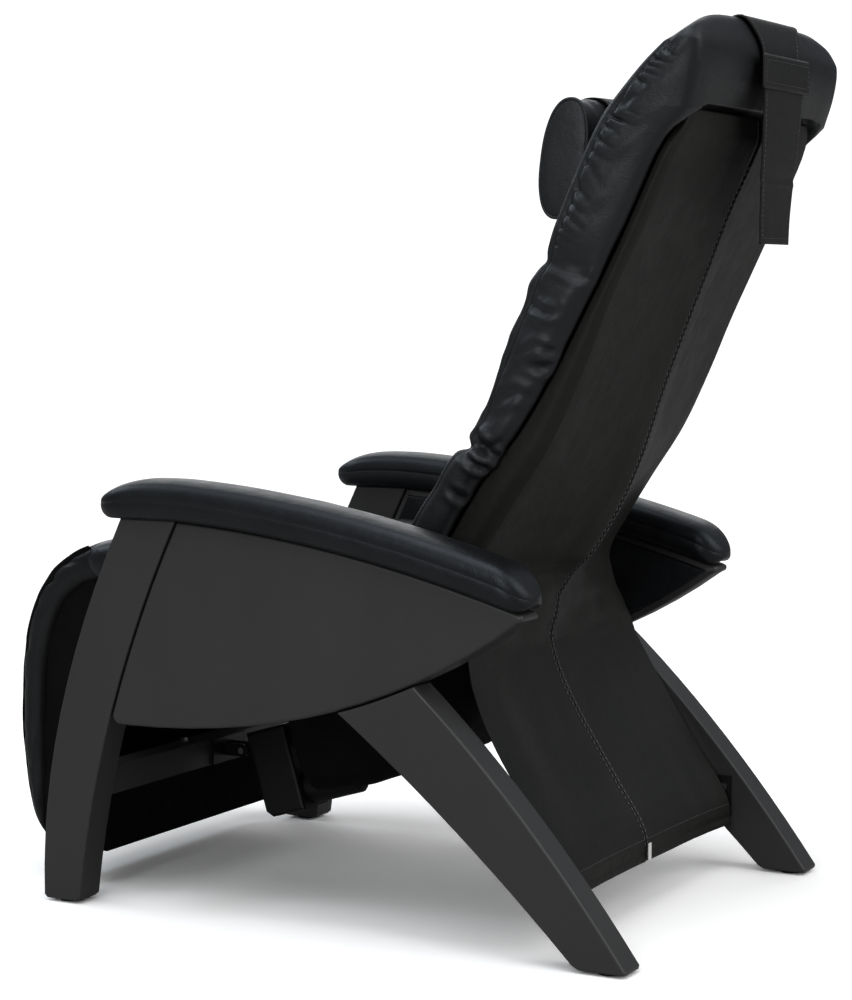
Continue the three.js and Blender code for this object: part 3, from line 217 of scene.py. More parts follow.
def thick_grid(name, outer, inner, material, body):
    """A sheet with thickness, closed along its four edges."""
    rows, columns = outer.shape[:2]
    count = rows * columns
    faces = quads(rows, columns, False)
    faces += [[count + i for i in reversed(face)] for face in quads(rows, columns, False)]
    rims = (range(columns), range(count - columns, count))
    sides = (range(0, count, columns), range(columns - 1, count, columns))
    for edge in rims + sides:
        faces += [[a, b, count + b, count + a] for a, b in zip(edge, edge[1:])]
    points = np.vstack([outer.reshape(-1, 3), inner.reshape(-1, 3)])
    return new_piece(name, points, faces, material, body)


def tube_grid(path, radius, sides=10, closed=False):
    """Rings of points round a line."""
    path = np.asarray(path, float)
    along = np.roll(path, -1, 0) - np.roll(path, 1, 0) if closed else np.gradient(path, axis=0)
    along /= np.linalg.norm(along, axis=1, keepdims=True)
    # a way that no line here follows
    odd_way = np.array([0.31, 0.17, 0.93])
    side = np.cross(along, odd_way)
    side /= np.maximum(np.linalg.norm(side, axis=1, keepdims=True), 1e-6)
    other = np.cross(along, side)
    turns = np.linspace(0, 2 * np.pi, sides, endpoint=False)
    radius = np.broadcast_to(np.asarray(radius, float), len(path))[:, None, None]
    around = np.cos(turns)[None, :, None] * side[:, None] + np.sin(turns)[None, :, None] * other[:, None]
    return path[:, None] + radius * around


def piping(name, path, radius, material, body):
    """A thin roll along a closed seam."""
    grid = tube_grid(path, radius, closed=True)
    rows, columns = grid.shape[:2]
    last = (rows - 1) * columns
    faces = quads(rows, columns, True)
    faces += [[last + c, last + (c + 1) % columns, (c + 1) % columns, c] for c in range(columns)]
    return new_piece(name, grid, faces, material, body)


# Stitches: pitch, length and radius
FINE_STITCH, HEM_STITCH, SEAM_STITCH = (6.6, 4.2, 0.5), (6.6, 4.0, 0.5), (9.0, 5.6, 0.85)
stitch_radius_shares = np.array([0.35, 0.9, 1, 0.9, 0.35])


def stitch_run(name, path, body, stitch):
    """A row of short sewn stitches along a line, all in one mesh."""
    pitch, length, radius = stitch
    path = np.asarray(path, float)
    run = run_of(path)
    count = max(int(run[-1] / pitch), 2)
    rings, sides = len(stitch_radius_shares), 6
    points, faces = [], []
    for i in range(count):
        at = (i + 0.5) * run[-1] / count + np.linspace(-length / 2, length / 2, rings)
        middle = np.stack([np.interp(at, run, path[:, k]) for k in range(3)], 1)
        points.append(tube_grid(middle, radius * stitch_radius_shares, sides).reshape(-1, 3))
        base = i * rings * sides
        faces += [[base + k for k in face] for face in quads(rings, sides, True)]
        faces.append([base + k for k in range(sides)])
        faces.append([base + (rings - 1) * sides + k for k in reversed(range(sides))])
    return new_piece(name, np.vstack(points), faces, thread, body)


def crease(grid, line, depth, width, lip):
    """How far a fold pressed along a line moves each point of a grid, with a lip on both sides."""
    line = np.asarray(line, float)
    best = np.full(grid.shape[:2], 1e9)
    along = np.zeros(grid.shape[:2])
    run = run_of(line)
    for k in range(len(line) - 1):
        step = line[k + 1] - line[k]
        t = np.clip(((grid - line[k]) @ step) / (step @ step), 0, 1)
        far = np.linalg.norm(grid - (line[k] + t[..., None] * step), axis=2)
        nearer = far < best
        best = np.where(nearer, far, best)
        along = np.where(nearer, (run[k] + t * (run[k + 1] - run[k])) / run[-1], along)
    fade = np.sin(np.pi * np.clip(along, 0.02, 0.98)) ** 0.6
    return depth * fade * (-bump(best, 0, width) + lip * bump(best, 2 * width, 0.9 * width))


# Materials
class Nodes:
    """Short calls for building a node tree. An input is given its value, or the socket to link from."""

    def __init__(self, tree):
        self.tree = tree

    def put(self, value, target):
        if isinstance(value, bpy.types.NodeSocket):
            self.tree.links.new(value, target)
        else:
            target.default_value = value

    def add(self, kind, inputs=None, **settings):
        node = self.tree.nodes.new(kind)
        for key, value in settings.items():
            setattr(node, key, value)
        for key, value in (inputs or {}).items():
            self.put(value, node.inputs[key])
        return node

    def noise(self, place, scale, detail, rough, distortion=0.0):
        inputs = {"Vector": place, "Scale": scale, "Detail": detail, "Roughness": rough}
        return self.add("ShaderNodeTexNoise", inputs | {"Distortion": distortion}).outputs["Fac"]

    def ramp(self, source, low, high, to_low, to_high):
        inputs = {"Value": source, "From Min": low, "From Max": high, "To Min": to_low, "To Max": to_high}
        return self.add("ShaderNodeMapRange", inputs).outputs["Result"]

    def mix(self, factor, first, second):
        inputs = {"Factor": factor, "A": (*first, 1), "B": (*second, 1)}
        return self.add("ShaderNodeMix", inputs, data_type="RGBA").outputs["Result"]

    def bump(self, height, distance, strength, **after):
        inputs = {"Height": height, "Distance": distance, "Strength": strength}
        return self.add("ShaderNodeBump", inputs | after).outputs["Normal"]


def shader(name, colour, roughness, specular, metallic=0.0, highlight_tint=(1, 1, 1)):
    material = bpy.data.materials.new(name)
    material.use_nodes = True
    sockets = material.node_tree.nodes["Principled BSDF"].inputs
    sockets["Base Color"].default_value = (*colour, 1)
    sockets["Roughness"].default_value = roughness
    sockets["Metallic"].default_value = metallic
    sockets["Specular IOR Level"].default_value = specular
    # the specular tint paints a colour onto the highlights: painted highlight colour
    sockets["Specular Tint"].default_value = (*highlight_tint, 1)
    return material, sockets, Nodes(material.node_tree)


def leather(name, dark, light, rough, specular, highlight_tint, grain=520.0, depth=0.00022):
    """Leather with a pebbled grain, broad mottling and uneven polish."""
    material, sockets, n = shader(name, dark, rough[0], specular, highlight_tint=highlight_tint)
    place = n.add("ShaderNodeTexCoord").outputs["Object"]
    mottling = n.ramp(n.noise(place, 9.0, 4.0, 0.55), 0.35, 0.68, 0, 1)
    n.put(n.mix(mottling, dark, light), sockets["Base Color"])
    n.put(n.ramp(n.noise(place, 34.0, 5.0, 0.6), 0.3, 0.7, *rough), sockets["Roughness"])
    cells = {"Vector": place, "Scale": grain, "Smoothness": 0.35}
    pebbles = n.add("ShaderNodeTexVoronoi", cells, feature="SMOOTH_F1").outputs["Distance"]
    pores = n.bump(n.noise(place, grain * 2.6, 2.0, 0.5), depth * 0.4, 0.7)
    coarse = n.bump(pebbles, depth, 0.75, Normal=pores)
    wrinkles = n.noise(place, 70.0, 3.0, 0.5, distortion=0.4)
    n.put(n.bump(wrinkles, 0.0011, 0.55, Normal=coarse), sockets["Normal"])
    return material


def painted(name, dark, light, roughness, metallic, grain, depth, stretch=(1, 1, 1), specular=0.5):
    """A painted, moulded or plated surface with fine texture, colour drift and uneven gloss."""
    material, sockets, n = shader(name, dark, roughness, specular, metallic)
    place = n.add("ShaderNodeTexCoord").outputs["Object"]
    run = n.add("ShaderNodeMapping", {"Scale": stretch, "Vector": place}).outputs["Vector"]
    drift = n.ramp(n.noise(run, 5.0, 5.0, 0.6), 0.3, 0.7, 0, 1)
    n.put(n.mix(drift, dark, light), sockets["Base Color"])
    gloss = n.ramp(n.noise(run, 22.0, 4.0, 0.6), 0.25, 0.75, roughness * 0.86, roughness * 1.12)
    n.put(gloss, sockets["Roughness"])
    n.put(n.bump(n.noise(run, grain, 3.0, 0.55), depth, 0.6), sockets["Normal"])
    return material


# Each leather's last colour tints its highlights: painted highlight colour, cool on the black leathers and
# slightly warm on the cover and strap
black_leather = leather(
    "black_leather", (0.0034, 0.0034, 0.0038), (0.006, 0.0061, 0.0068), (0.34, 0.46), 0.27, (0.84, 0.92, 1)
)
# The back cushion's and pillow's leather: its own rougher finish, and a tone lighter than the arms' black
# leather that is painted light on the hood, sides and pillow
lit_cushion_leather = leather(
    "lit_cushion_leather", (0.0046, 0.0046, 0.0049), (0.0074, 0.0074, 0.0079), (0.4, 0.5), 0.36, (0.9, 0.95, 1)
)
# The knee roll and legrest's leather: a darker copy of the black leather, painted shade on the legrest
shaded_legrest_leather = leather(
    "shaded_legrest_leather", (0.003, 0.003, 0.0031), (0.0048, 0.0048, 0.005), (0.38, 0.5), 0.28, (0.95, 0.97, 1)
)
cover_leather = leather(
    "cover_leather", (0.0064, 0.0062, 0.0057), (0.009, 0.0087, 0.008), (0.5, 0.6), 0.21, (1, 0.98, 0.93),
    grain=610.0, depth=0.00018,
)
strap_leather = leather(
    "strap_leather", (0.0075, 0.0074, 0.0074), (0.0105, 0.0103, 0.0102), (0.48, 0.58), 0.26, (1, 0.99, 0.98),
    grain=640.0, depth=0.00016,
)
frame_paint = painted(
    "frame_paint", (0.0198, 0.0194, 0.019), (0.024, 0.0235, 0.0229), 0.46, 0, 130.0, 0.00012,
    stretch=(1, 1, 0.22), specular=0.42,
)
steel_coat = painted(
    "steel_coat", (0.0042, 0.0042, 0.0044), (0.0068, 0.0068, 0.007), 0.42, 0.2, 900.0, 0.00008, specular=0.3
)
lining = painted(
    "black_lining", (0.0022, 0.0022, 0.0023), (0.0036, 0.0036, 0.0037), 0.85, 0, 1800.0, 0.00025,
    specular=0.08,
)
zinc_plate = painted("zinc_plate", (0.3, 0.305, 0.315), (0.42, 0.425, 0.435), 0.32, 1, 420.0, 0.00004)
brass_plate = painted("brass_plate", (0.42, 0.27, 0.08), (0.5, 0.34, 0.13), 0.34, 1, 420.0, 0.00004)
moulded = painted(
    "moulded_plastic", (0.0032, 0.0032, 0.0034), (0.005, 0.005, 0.0052), 0.5, 0, 1400.0, 0.00006, specular=0.3
)
plywood = painted("plywood", (0.3, 0.19, 0.1), (0.42, 0.29, 0.17), 0.62, 0, 90.0, 0.0002, (0.3, 6, 6))
pale_tag = painted("pale_tag", (0.62, 0.62, 0.6), (0.75, 0.75, 0.73), 0.5, 0, 700.0, 0.00005)
thread = painted("thread", (0.05, 0.05, 0.05), (0.09, 0.09, 0.088), 0.6, 0, 2500.0, 0.0001)

finishes = {
    "frame": frame_paint, "leather": black_leather, "cover": cover_leather, "board": plywood,
    "steel": steel_coat, "zinc": zinc_plate, "brass": brass_plate, "plastic": moulded, "glide": moulded,
    "tag": pale_tag,
}

# Back cushion: the CAD part's face and rear lines, as shares of its run and rise from the hip
BACK = np.array([392.0, 820.0])
BACK_HALF, BACK_CROWN = 268.0, 9.0
CAP = 8
back_face_shares = [
    (-0.179, 0.085), (-0.077, 0.184), (0.051, 0.268), (0.171, 0.348), (0.26, 0.456), (0.372, 0.577),
    (0.48, 0.689), (0.577, 0.793), (0.633, 0.841), (0.668, 0.865), (0.765, 0.917), (0.855, 0.955),
    (0.936, 0.985),
]
back_rear_shares = [
    (-0.031, 0.066), (0.056, 0.156), (0.191, 0.259), (0.337, 0.345), (0.462, 0.441), (0.587, 0.551),
    (0.712, 0.663), (0.829, 0.78), (0.883, 0.832), (0.964, 0.856), (0.992, 0.909), (1, 0.957),
    (0.982, 0.996),
]
back_width_shares = [0.94, 0.985, 0.985, 0.98, 0.985, 0.99, 1, 1, 1, 1, 1, 1, 1]
STATIONS = len(back_face_shares) - 1
face_line = smooth_line(HIP + BACK * np.array(back_face_shares))
rear_low = smooth_line(HIP + BACK * np.array(back_rear_shares[: CAP + 1]))
rear_high = smooth_line(HIP + BACK * np.array(back_rear_shares[CAP + 1 :]))

# The hood stands behind the rest of the cushion's rear; further down only a low rim is left of that step
top_along = rear_low(1.0) - rear_low(0.99)
top_along /= np.linalg.norm(top_along)
top_outward = outward_of(top_along)
HOOD_STEP = rear_high(0.0) - rear_low(1.0)
HOOD_RISE, HOOD_REACH = float(HOOD_STEP @ top_along), float(HOOD_STEP @ top_outward)
rim_stations = [0, 5.5, 7, 7.6, 8, 8.5, 9]
rim_shares = [0, 0.05, 0.08, 0.14, 0.36, 0.72, 1]


def rim_reach(station):
    return HOOD_REACH * np.interp(station, rim_stations, rim_shares)


def behind_back(station, depth):
    """A point at a depth behind the back's low rear line."""
    station = np.asarray(station, float)
    near = 0.05
    a = rear_low(np.maximum(station - near, 0) / CAP)
    b = rear_low(np.minimum(station + near, CAP) / CAP)
    along = (b - a) / np.linalg.norm(b - a, axis=-1, keepdims=True)
    return rear_low(station / CAP) + outward_of(along) * np.asarray(depth)[..., None]


def rear_at(station):
    """The cushion's rear line at its rim and hood."""
    station = np.asarray(station, float)
    low = behind_back(np.minimum(station, CAP), rim_reach(station))
    low = low + top_along * (HOOD_RISE * np.clip(station - CAP, 0, 1))[..., None]
    high = rear_high((station - CAP - 1) / (STATIONS - CAP - 1))
    return np.where((station > CAP + 1)[..., None], high, low)


# Half the section of a pad, from its back to its face: shares of its half width, thickness and crown
pad_half_shares = np.array(
    [
        (0, 0, 0), (0.5, 0, 0), (0.9, 0, 0), (0.972, 0.05, 0), (1, 0.2, 0), (1.012, 0.5, 0), (1, 0.78, 0),
        (0.965, 0.94, 0), (0.89, 1, 0.19), (0.72, 1, 0.48), (0.48, 1, 0.77), (0.24, 1, 0.94), (0, 1, 1),
    ]
)
pad_steps = [10, 8, 4, 4, 6, 6, 5, 5, 7, 9, 9, 9]
back_steps = [10, 24, 9, 5, 7, 7, 7, 6, 8, 10, 10, 10]


def section_grid(controls, steps):
    """Full closed sections from half ones, and the place of each half's points among the controls."""
    last = len(steps)
    u = np.concatenate([np.arange(k) / k + i for i, k in enumerate(steps)] + [[last]])
    rows = []
    for half in controls:
        line = smooth_line(np.vstack([(half * [-1, 1])[::-1], half[1:]]))
        right = line((last + u) / (2 * last))
        rows.append(np.vstack([right, (right * [-1, 1])[::-1][1:-1]]))
    return np.array(rows), u


def pad_grid(back, face, half_width, crown, steps):
    """A pad between a back line and a face line of the side view, and the places round its sections."""
    across, through, risen = pad_half_shares.T
    thickness = np.linalg.norm(face - back, axis=1)[:, None]
    controls = np.stack([across * half_width[:, None], through * thickness + risen * crown[:, None]], -1)
    sections, u = section_grid(controls, steps)
    flat = back[:, None] + ((face - back) / thickness)[:, None] * sections[..., 1:2]
    return np.concatenate([sections[..., :1], flat], -1), np.concatenate([u, u[::-1][1:-1]])


# Rounded ends of a loft: how far they turn in, how much they narrow and how much their corners hold back
END_TURN_SHARE, END_NARROW_SHARE, END_CORNER_SHARE = 0.97, 0.09, 0.9


def rounded_ends(grid, rise, steps=4):
    """Closes both ends of a loft with rings that shrink towards their middle line."""
    ends = []
    for ring, beyond in ((grid[0], grid[0] - grid[1]), (grid[-1], grid[-1] - grid[-2])):
        outward = beyond.mean(0)
        outward /= np.linalg.norm(outward)
        middle = ring.mean(0)
        long_way, short_way = (ring - middle) * [1, 0, 0], (ring - middle) * [0, 1, 1]
        corner = np.abs(long_way[:, :1]) / np.abs(long_way).max()
        rings = []
        for k in range(1, steps + 1):
            angle = np.pi / 2 * k / steps * END_TURN_SHARE
            squeezed = middle + long_way * (1 - END_NARROW_SHARE * (1 - math.cos(angle)))
            squeezed = squeezed + short_way * math.cos(angle)
            rings.append(squeezed + outward * rise * math.sin(angle) * (1 - END_CORNER_SHARE * corner**7))
        ends.append(np.array(rings))
    return np.vstack([ends[0][::-1], grid, ends[1]])


STATION_LENGTH, TOP_CORNER, CORNER_SHORT = 37.0, 34.0, 3.0


def back_grid():
    rows = np.concatenate([np.linspace(0, 6.5, 170), np.linspace(6.5, STATIONS, 120)[1:]])
    width = BACK_HALF * np.interp(rows, np.arange(STATIONS + 1), back_width_shares)
    # the top corners are round, but a little short of a full quarter
    near_top = np.maximum(TOP_CORNER - STATION_LENGTH * (STATIONS - rows) - CORNER_SHORT, 0)
    width -= TOP_CORNER - np.sqrt(TOP_CORNER**2 - near_top**2)
    crown = BACK_CROWN * np.minimum(1, np.minimum(0.4 + rows, 0.6 + STATIONS - rows))
    return rows, *pad_grid(rear_at(rows), face_line(rows / STATIONS), width, crown, back_steps)


back_rows, back_shape, back_turns = back_grid()
# the column at the cushion's side that the run along it is measured down
SIDE_COLUMN = (sum(back_steps) + 1) // 2

ARCH_HALF, ARCH_TOP, ARCH_WIDE, ARCH_TALL = 249.0, 1128.5, 52.0, 38.0


def arch_distance(x, z):
    """How far a point lies outside the arch that the hood leaves open for the cover."""
    across = np.maximum(np.abs(x) - ARCH_HALF + ARCH_WIDE, 0) / ARCH_WIDE
    up = np.maximum(z - ARCH_TOP + ARCH_TALL, 0) / ARCH_TALL
    return (np.hypot(across, up) - 1) * (ARCH_TALL + (ARCH_WIDE - ARCH_TALL) * ease(across - up, -0.5, 0.5))


# Folds across the cushion's sides: depth, width and the line in the side view
SIDE_X, SIDE_LIP_SHARE = 262.0, 0.55
SIDE_FOLDS = [
    (5.0, 5.0, [(314, 920), (344, 907), (374, 901)]),
    (8.0, 6.0, [(286, 869), (306, 858), (326, 861)]),
    (5.0, 5.0, [(268, 801), (294, 816), (326, 802)]),
    (5.0, 6.0, [(280, 789), (304, 783), (330, 792)]),
    (9.0, 7.0, [(193, 700), (216, 671), (240, 655)]),
    (7.0, 6.0, [(183, 668), (214, 648), (236, 650)]),
    (4.0, 7.0, [(236, 740), (262, 752), (284, 744)]),
    (4.0, 6.0, [(160, 622), (184, 604), (204, 602)]),
]
# Lines across the cushion's face: depth, station and width, where the last one swells out
FACE_LINES = [(4.0, 5.4, 0.09), (5.0, 5.4, 0.3), (11.0, 2.62, 0.12), (-5.0, 2.2, 0.35)]
# How far the other forms of the cushion stand out or lie in
TOP_RISE, HOOD_BULGE, COVER_ROOM = 9.0, 6.0, 5.0
COVER_WAY = np.array([-0.895, 0.445])
CORNER_SEAM, CORNER_EDGE, SEAM_DEPTH, SEAM_LIP = 6.42, 7.0, 2.4, 2.2
GATHER_PITCH, GATHER_DEPTH, GATHER_SWELL = 22.0, 7.5, 2.0
SLACK_SWELL, SLACK_RIPPLE, BROAD_SWELL = 4.5, 1.0, 1.4


def back_relief():
    """Folds, gathers and seams of the back cushion, as moves along its normals."""
    grid = back_shape.copy()
    middle = grid.mean(1, keepdims=True)
    u, s = back_turns[None, :], back_rows[:, None]
    x, z = grid[..., 0], grid[..., 2]
    # a gently crowned top edge, and a rear that bulges a little
    grid[..., 2] += TOP_RISE * ease(s, 10.2, 12) * (1 - 1.2 * ease(np.abs(x), 60, SIDE_X) ** 2)
    grid[..., 1] += HOOD_BULGE * bump(s, 10.6, 1.3) * (1 - ease(u, 3.0, 4.2)) * (1 - (np.abs(x) / 285) ** 4)
    # inside the arch the rear lies back, under the cover
    sunk = (1 - ease(u, 3.3, 4.6)) * (1 - ease(arch_distance(x, z), -4, 1)) * (1 - ease(s, 9.2, 9.5))
    grid[..., 1:] += ((rim_reach(s) + COVER_ROOM) * sunk)[..., None] * COVER_WAY
    normal = grid_normals(grid, True, middle)
    run = run_of(grid[:, SIDE_COLUMN])[:, None]
    side = np.sign(x)
    # the front corner seam with its gathers, from the cross seam to the top
    gathered = ease(s, 5.3, 6.0) * (1 - ease(s, 10.9, 11.8))
    move = SEAM_LIP * bump(u, CORNER_EDGE, 0.45) - SEAM_DEPTH * bump(u, CORNER_SEAM, 0.12)
    phase = run / GATHER_PITCH + 1.2 * noise(run / 43, side * 3, 5) + (7 - u) * 0.6
    strength = 0.25 + 0.75 * np.abs(noise(run / 31, side * 5, 8))
    reach = ease(u, 5.4 - 1.3 * strength, 6.25) * (1 - ease(u, 6.32, 6.5))
    dent = np.maximum(np.cos(2 * np.pi * phase), 0) ** (0.9 + 1.6 * (6.5 - np.clip(u, 4.5, 6.5)) / 2)
    move = move - GATHER_DEPTH * gathered * reach * strength * dent
    swell = gathered * GATHER_SWELL * noise(run / 24 + 0.8 * u, u * 0.9 + side * 3, 13)
    move += swell * ease(u, 4.0, 5.2) * (1 - ease(u, 6.4, 7))
    # the seam and the deep fold across the cushion, and the slack leather between them
    faced = ease(u, 3.2, 4.4)
    for depth, station, width in FACE_LINES:
        move -= depth * bump(s, station, width) * faced
    slack = ease(s, 2.4, 3.0) * (1 - ease(s, 5.2, 5.5)) * faced
    move += slack * SLACK_SWELL * noise(run / 40 + 0.3 * u, u * 0.5 + side * 7, 11)
    move += slack * SLACK_RIPPLE * noise(run / 17 + 0.5 * u, u * 0.7 + side * 9, 12)
    move += BROAD_SWELL * noise(run / 60, u * 0.5 + side * 4, 21) * ease(s, 0, 1)
    for depth, width, line in SIDE_FOLDS:
        for across in (-SIDE_X, SIDE_X):
            fold = resample([(across, *point) for point in line], 12)
            move += crease(grid, fold, depth, width, SIDE_LIP_SHARE)
    return grid + normal * move[..., None]


def softened(grid, first, span, rounds):
    """The same grid with its last rows smoothed, more and more towards the end."""
    weight = ease(np.arange(len(grid)), first, first + span)[:, None, None]
    for _ in range(rounds):
        around = (np.roll(grid, 1, 1) + np.roll(grid, -1, 1)) / 2
        down = grid.copy()
        down[1:-1] = (grid[2:] + grid[:-2]) / 2
        grid = grid * (1 - weight) + weight * (around + down) / 2
    return grid


END_RINGS, BACK_END_RISE, SOFT_FROM = 6, 15.0, 11.1


def row_at(station):
    """The row of the back cushion's final grid at a station."""
    return END_RINGS + int(np.searchsorted(back_rows, station))


back_final = softened(rounded_ends(back_relief(), BACK_END_RISE, END_RINGS), row_at(SOFT_FROM), 14, 60)
back_cushion = closed_loft("back_cushion_soft", back_final, lit_cushion_leather, "backrest")
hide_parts("back_cushion")

# Back cover and rear skirt: one leather sheet from under the hood to the hem
COVER_HALF, RIDGE_INSET, COVER_DEPTH, COVER_LIP, COVER_THICK = 243.0, 14.0, 106.0, 28, 2.2
cover_depth_shares = [0.75, 1, 1, 0.78, 0.56, 0.43, 0.33, 0.29, 0.27]
cover_ridge_shares = [0.46, 0.48, 0.48, 0.4, 0.31, 0.22, 0.17, 0.16, 0.16]
# how far outside the ridge the points of its flank lie, and their shares of its height
flank_shares = ((15, 0.66), (3, 0.97), (-4, 1.01))
COVER_STATIONS = [8, 7, 6, 5, 4, 3, 2, 1.2, 0.5]
SKIRT_FOOT, SKIRT_SIZE = np.array([190, 72]), np.array([154, 326])
SKIRT_HALF, SKIRT_FLARE, FLARE_TO_SHARE, CURL_TOP, CURL_LOW = 266, 29, 0.34, 3, 10
skirt_shares = [
    (0, 1), (0.013, 0.948), (0.073, 0.837), (0.178, 0.73), (0.331, 0.6), (0.503, 0.472), (0.675, 0.347),
    (0.81, 0.252), (0.925, 0.172), (0.985, 0.095), (1, 0),
]
skirt_row_shares = (0.06, 0.16, 0.28, 0.4, 0.52, 0.64, 0.76, 0.88, 1.0)
skirt_width_shares = (1, 0.985, 0.955, 0.925, 0.72, 0.48, 0.24, 0)
skirt_line = smooth_line(SKIRT_FOOT + SKIRT_SIZE * np.array(skirt_shares))
# half widths of the cover's top, where it narrows to the arch
arch_heights = [1052, 1070, 1087, 1100, 1108, 1115, 1119.5, 1123, 1126]
arch_halves = [243, 239.5, 231, 224, 218, 208, 195, 178, 150]


def cover_half_row(station):
    """Half a row of the cover, from its edge to its middle."""
    depth = COVER_DEPTH * np.interp(station, range(9), cover_depth_shares)
    ridge = COVER_DEPTH * np.interp(station, range(9), cover_ridge_shares)
    ridge_x = COVER_HALF - RIDGE_INSET
    flat = [(COVER_HALF, 1.0)]
    flat += [(ridge_x + out, ridge * share) for out, share in flank_shares]
    flat += [(k * ridge_x, ridge + (depth - ridge) * (1 - k) ** 1.3) for k in (0.75, 0.5, 0.25, 0)]
    return [(x, *behind_back(station, n)) for x, n in flat]


def skirt_half_row(t):
    y, z = skirt_line(t)
    flare = min(1, t / FLARE_TO_SHARE)
    curl = CURL_LOW * flare + CURL_TOP * (1 - flare)
    width = SKIRT_HALF + SKIRT_FLARE * flare
    return [(share * width, y + curl * share**3, z) for share in skirt_width_shares]


def sheet_grid(rows_fine=230, columns_fine=181):
    halves = [cover_half_row(s) for s in COVER_STATIONS]
    lip = np.array(halves[0]) + [0, *(top_along * COVER_LIP)]
    halves.insert(0, lip.tolist())
    halves += [skirt_half_row(t) for t in skirt_row_shares]
    halves = np.array(halves)
    down = smooth_line(halves.reshape(len(halves), -1))
    fine = down(np.linspace(0, 1, rows_fine)).reshape(rows_fine, -1, 3)
    t = np.linspace(0, 1, columns_fine)
    grid = np.array([smooth_line(np.vstack([half * [-1, 1, 1], half[::-1][1:]]))(t) for half in fine])
    # the top narrows to the arch and dips towards the hood's lip
    heights = grid[:, columns_fine // 2, 2:3]
    widths = np.interp(heights, arch_heights, arch_halves)
    grid[..., 0] *= np.where(heights > arch_heights[0], widths / COVER_HALF, 1)
    depth = (grid[..., 1:] - rear_low(1.0)) @ top_outward
    grid[..., 1:] -= (0.55 * ease(heights, 1085, 1127) * np.maximum(depth, 0))[..., None] * top_outward
    return grid


COVER_SEAM_DEPTH, COVER_SEAM_LIP, HEM_HEIGHT, HEM_DEPTH = 5.0, 0.9, 84, 1.8
WAIST_HEIGHT, WAIST_SWELL, WAIST_RIPPLE = 440, 4.5, 2.0
SKIRT_SWELL, SKIRT_RIPPLE, COVER_SWELL = 4.0, 1.2, 1.4


def sheet_relief():
    """The cover's middle seam, its folds at the waist and its slack, and the normals they follow."""
    grid = sheet_grid()
    normal = grid_normals(grid, False, grid.mean(1, keepdims=True) - [0, 300, 0])
    x, z = grid[..., 0], grid[..., 2]
    low = ease(-z, -400, -330)
    move = COVER_SEAM_LIP * (bump(x, -8, 5) + bump(x, 8, 5)) - COVER_SEAM_DEPTH * bump(x, 0, 2.4)
    slack = SKIRT_SWELL * noise(x / 75, z / 230 + 3, 31) + SKIRT_RIPPLE * noise(x / 34, z / 140, 32)
    move += low * (0.3 + 0.7 * ease(z, 80, 260)) * slack
    folds = WAIST_SWELL * noise(x / 48 + 2, z / 30, 33) + WAIST_RIPPLE * noise(x / 90, z / 13, 34)
    move += bump(z, WAIST_HEIGHT, 60) * folds
    move += (1 - low) * COVER_SWELL * noise(x / 70, z / 90, 35)
    move -= HEM_DEPTH * bump(z, HEM_HEIGHT, 3.0) * low
    return grid + normal * move[..., None], normal


sheet_outer, sheet_normal = sheet_relief()
sheet_inner = sheet_outer - COVER_THICK * sheet_normal
back_cover = thick_grid("back_cover_and_skirt", sheet_outer, sheet_inner, cover_leather, None)
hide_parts("back_cover", "rear_skirt")
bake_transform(back_cover)

SEAM_ROW_OFF, SEAM_FROM_SHARE, SEAM_TO_SHARE, HEM_SHARE = 4.4, 0.1, 0.97, 0.955
ON_COVER, ON_HEM = 0.7, 0.6


def on_sheet(x_wanted):
    """A line down the cover's outside at one distance from its middle."""
    lines = []
    last = sheet_outer.shape[0] - 1
    for r in range(int(SEAM_FROM_SHARE * last), int(SEAM_TO_SHARE * last) + 1):
        row = sheet_outer[r]
        k = np.interp(x_wanted, row[:, 0], np.arange(row.shape[0]))
        i = min(int(k), row.shape[0] - 2)
        point = row[i] * (1 - k + i) + row[i + 1] * (k - i)
        lines.append(point + sheet_normal[r, i] * ON_COVER)
    return np.array(lines)


cover_trim = [
    stitch_run(f"cover_seam_stitches_{name}", on_sheet(side * SEAM_ROW_OFF), None, SEAM_STITCH)
    for name, side in SIDES
]
hem_row = int(HEM_SHARE * (sheet_outer.shape[0] - 1))
hem_line = sheet_outer[hem_row, 3:-3] + sheet_normal[hem_row, 3:-3] * ON_HEM
cover_trim.append(stitch_run("skirt_hem_stitches", hem_line, None, HEM_STITCH))
for piece in cover_trim:
    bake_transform(piece)


# Arm pads, on the curved top of the side panels
PANEL_TOP = np.array([(-221.0, 566.0), (329.0, 463.0)])
panel_bow_shares = np.array([0.5, 0.15])
ARM_X, ARM_FRONT, ARM_REAR, ARM_WIDTH = 335.0, -362.0, 331.0, 85.0
ARM_THICK, ARM_END_THICK, ARM_GAP, ARM_NOSE_LIFT, ARM_HEEL_LIFT = 57.0, 25, 0.3, 19, 16
ARM_WRINKLE_SHARE = 0.005
arm_half_shares = np.array(
    [
        (0, 0.02), (0.42, 0), (0.76, 0.0), (0.93, 0.1), (1, 0.3), (0.99, 0.44), (0.972, 0.49), (0.985, 0.55),
        (0.935, 0.74), (0.79, 0.88), (0.48, 0.97), (0.22, 0.995), (0, 1),
    ]
)
arm_steps = [6, 5, 4, 5, 5, 4, 4, 5, 6, 6, 5, 4]


def arm_top(y):
    """The height of the panel's top, a parabola behind the leg and level over it."""
    first, last = PANEL_TOP
    middle = first + (last - first) * panel_bow_shares
    t = np.linspace(-0.05, 1.2, 400)[:, None]
    line = (1 - t) ** 2 * first + 2 * t * (1 - t) * middle + t**2 * last
    return np.where(y < first[0], first[1], np.interp(y, line[:, 0], line[:, 1]))


def rounding(distance, length, power):
    """What an end still lacks of its full size at a distance from it."""
    return np.maximum(1 - distance / length, 0) ** power


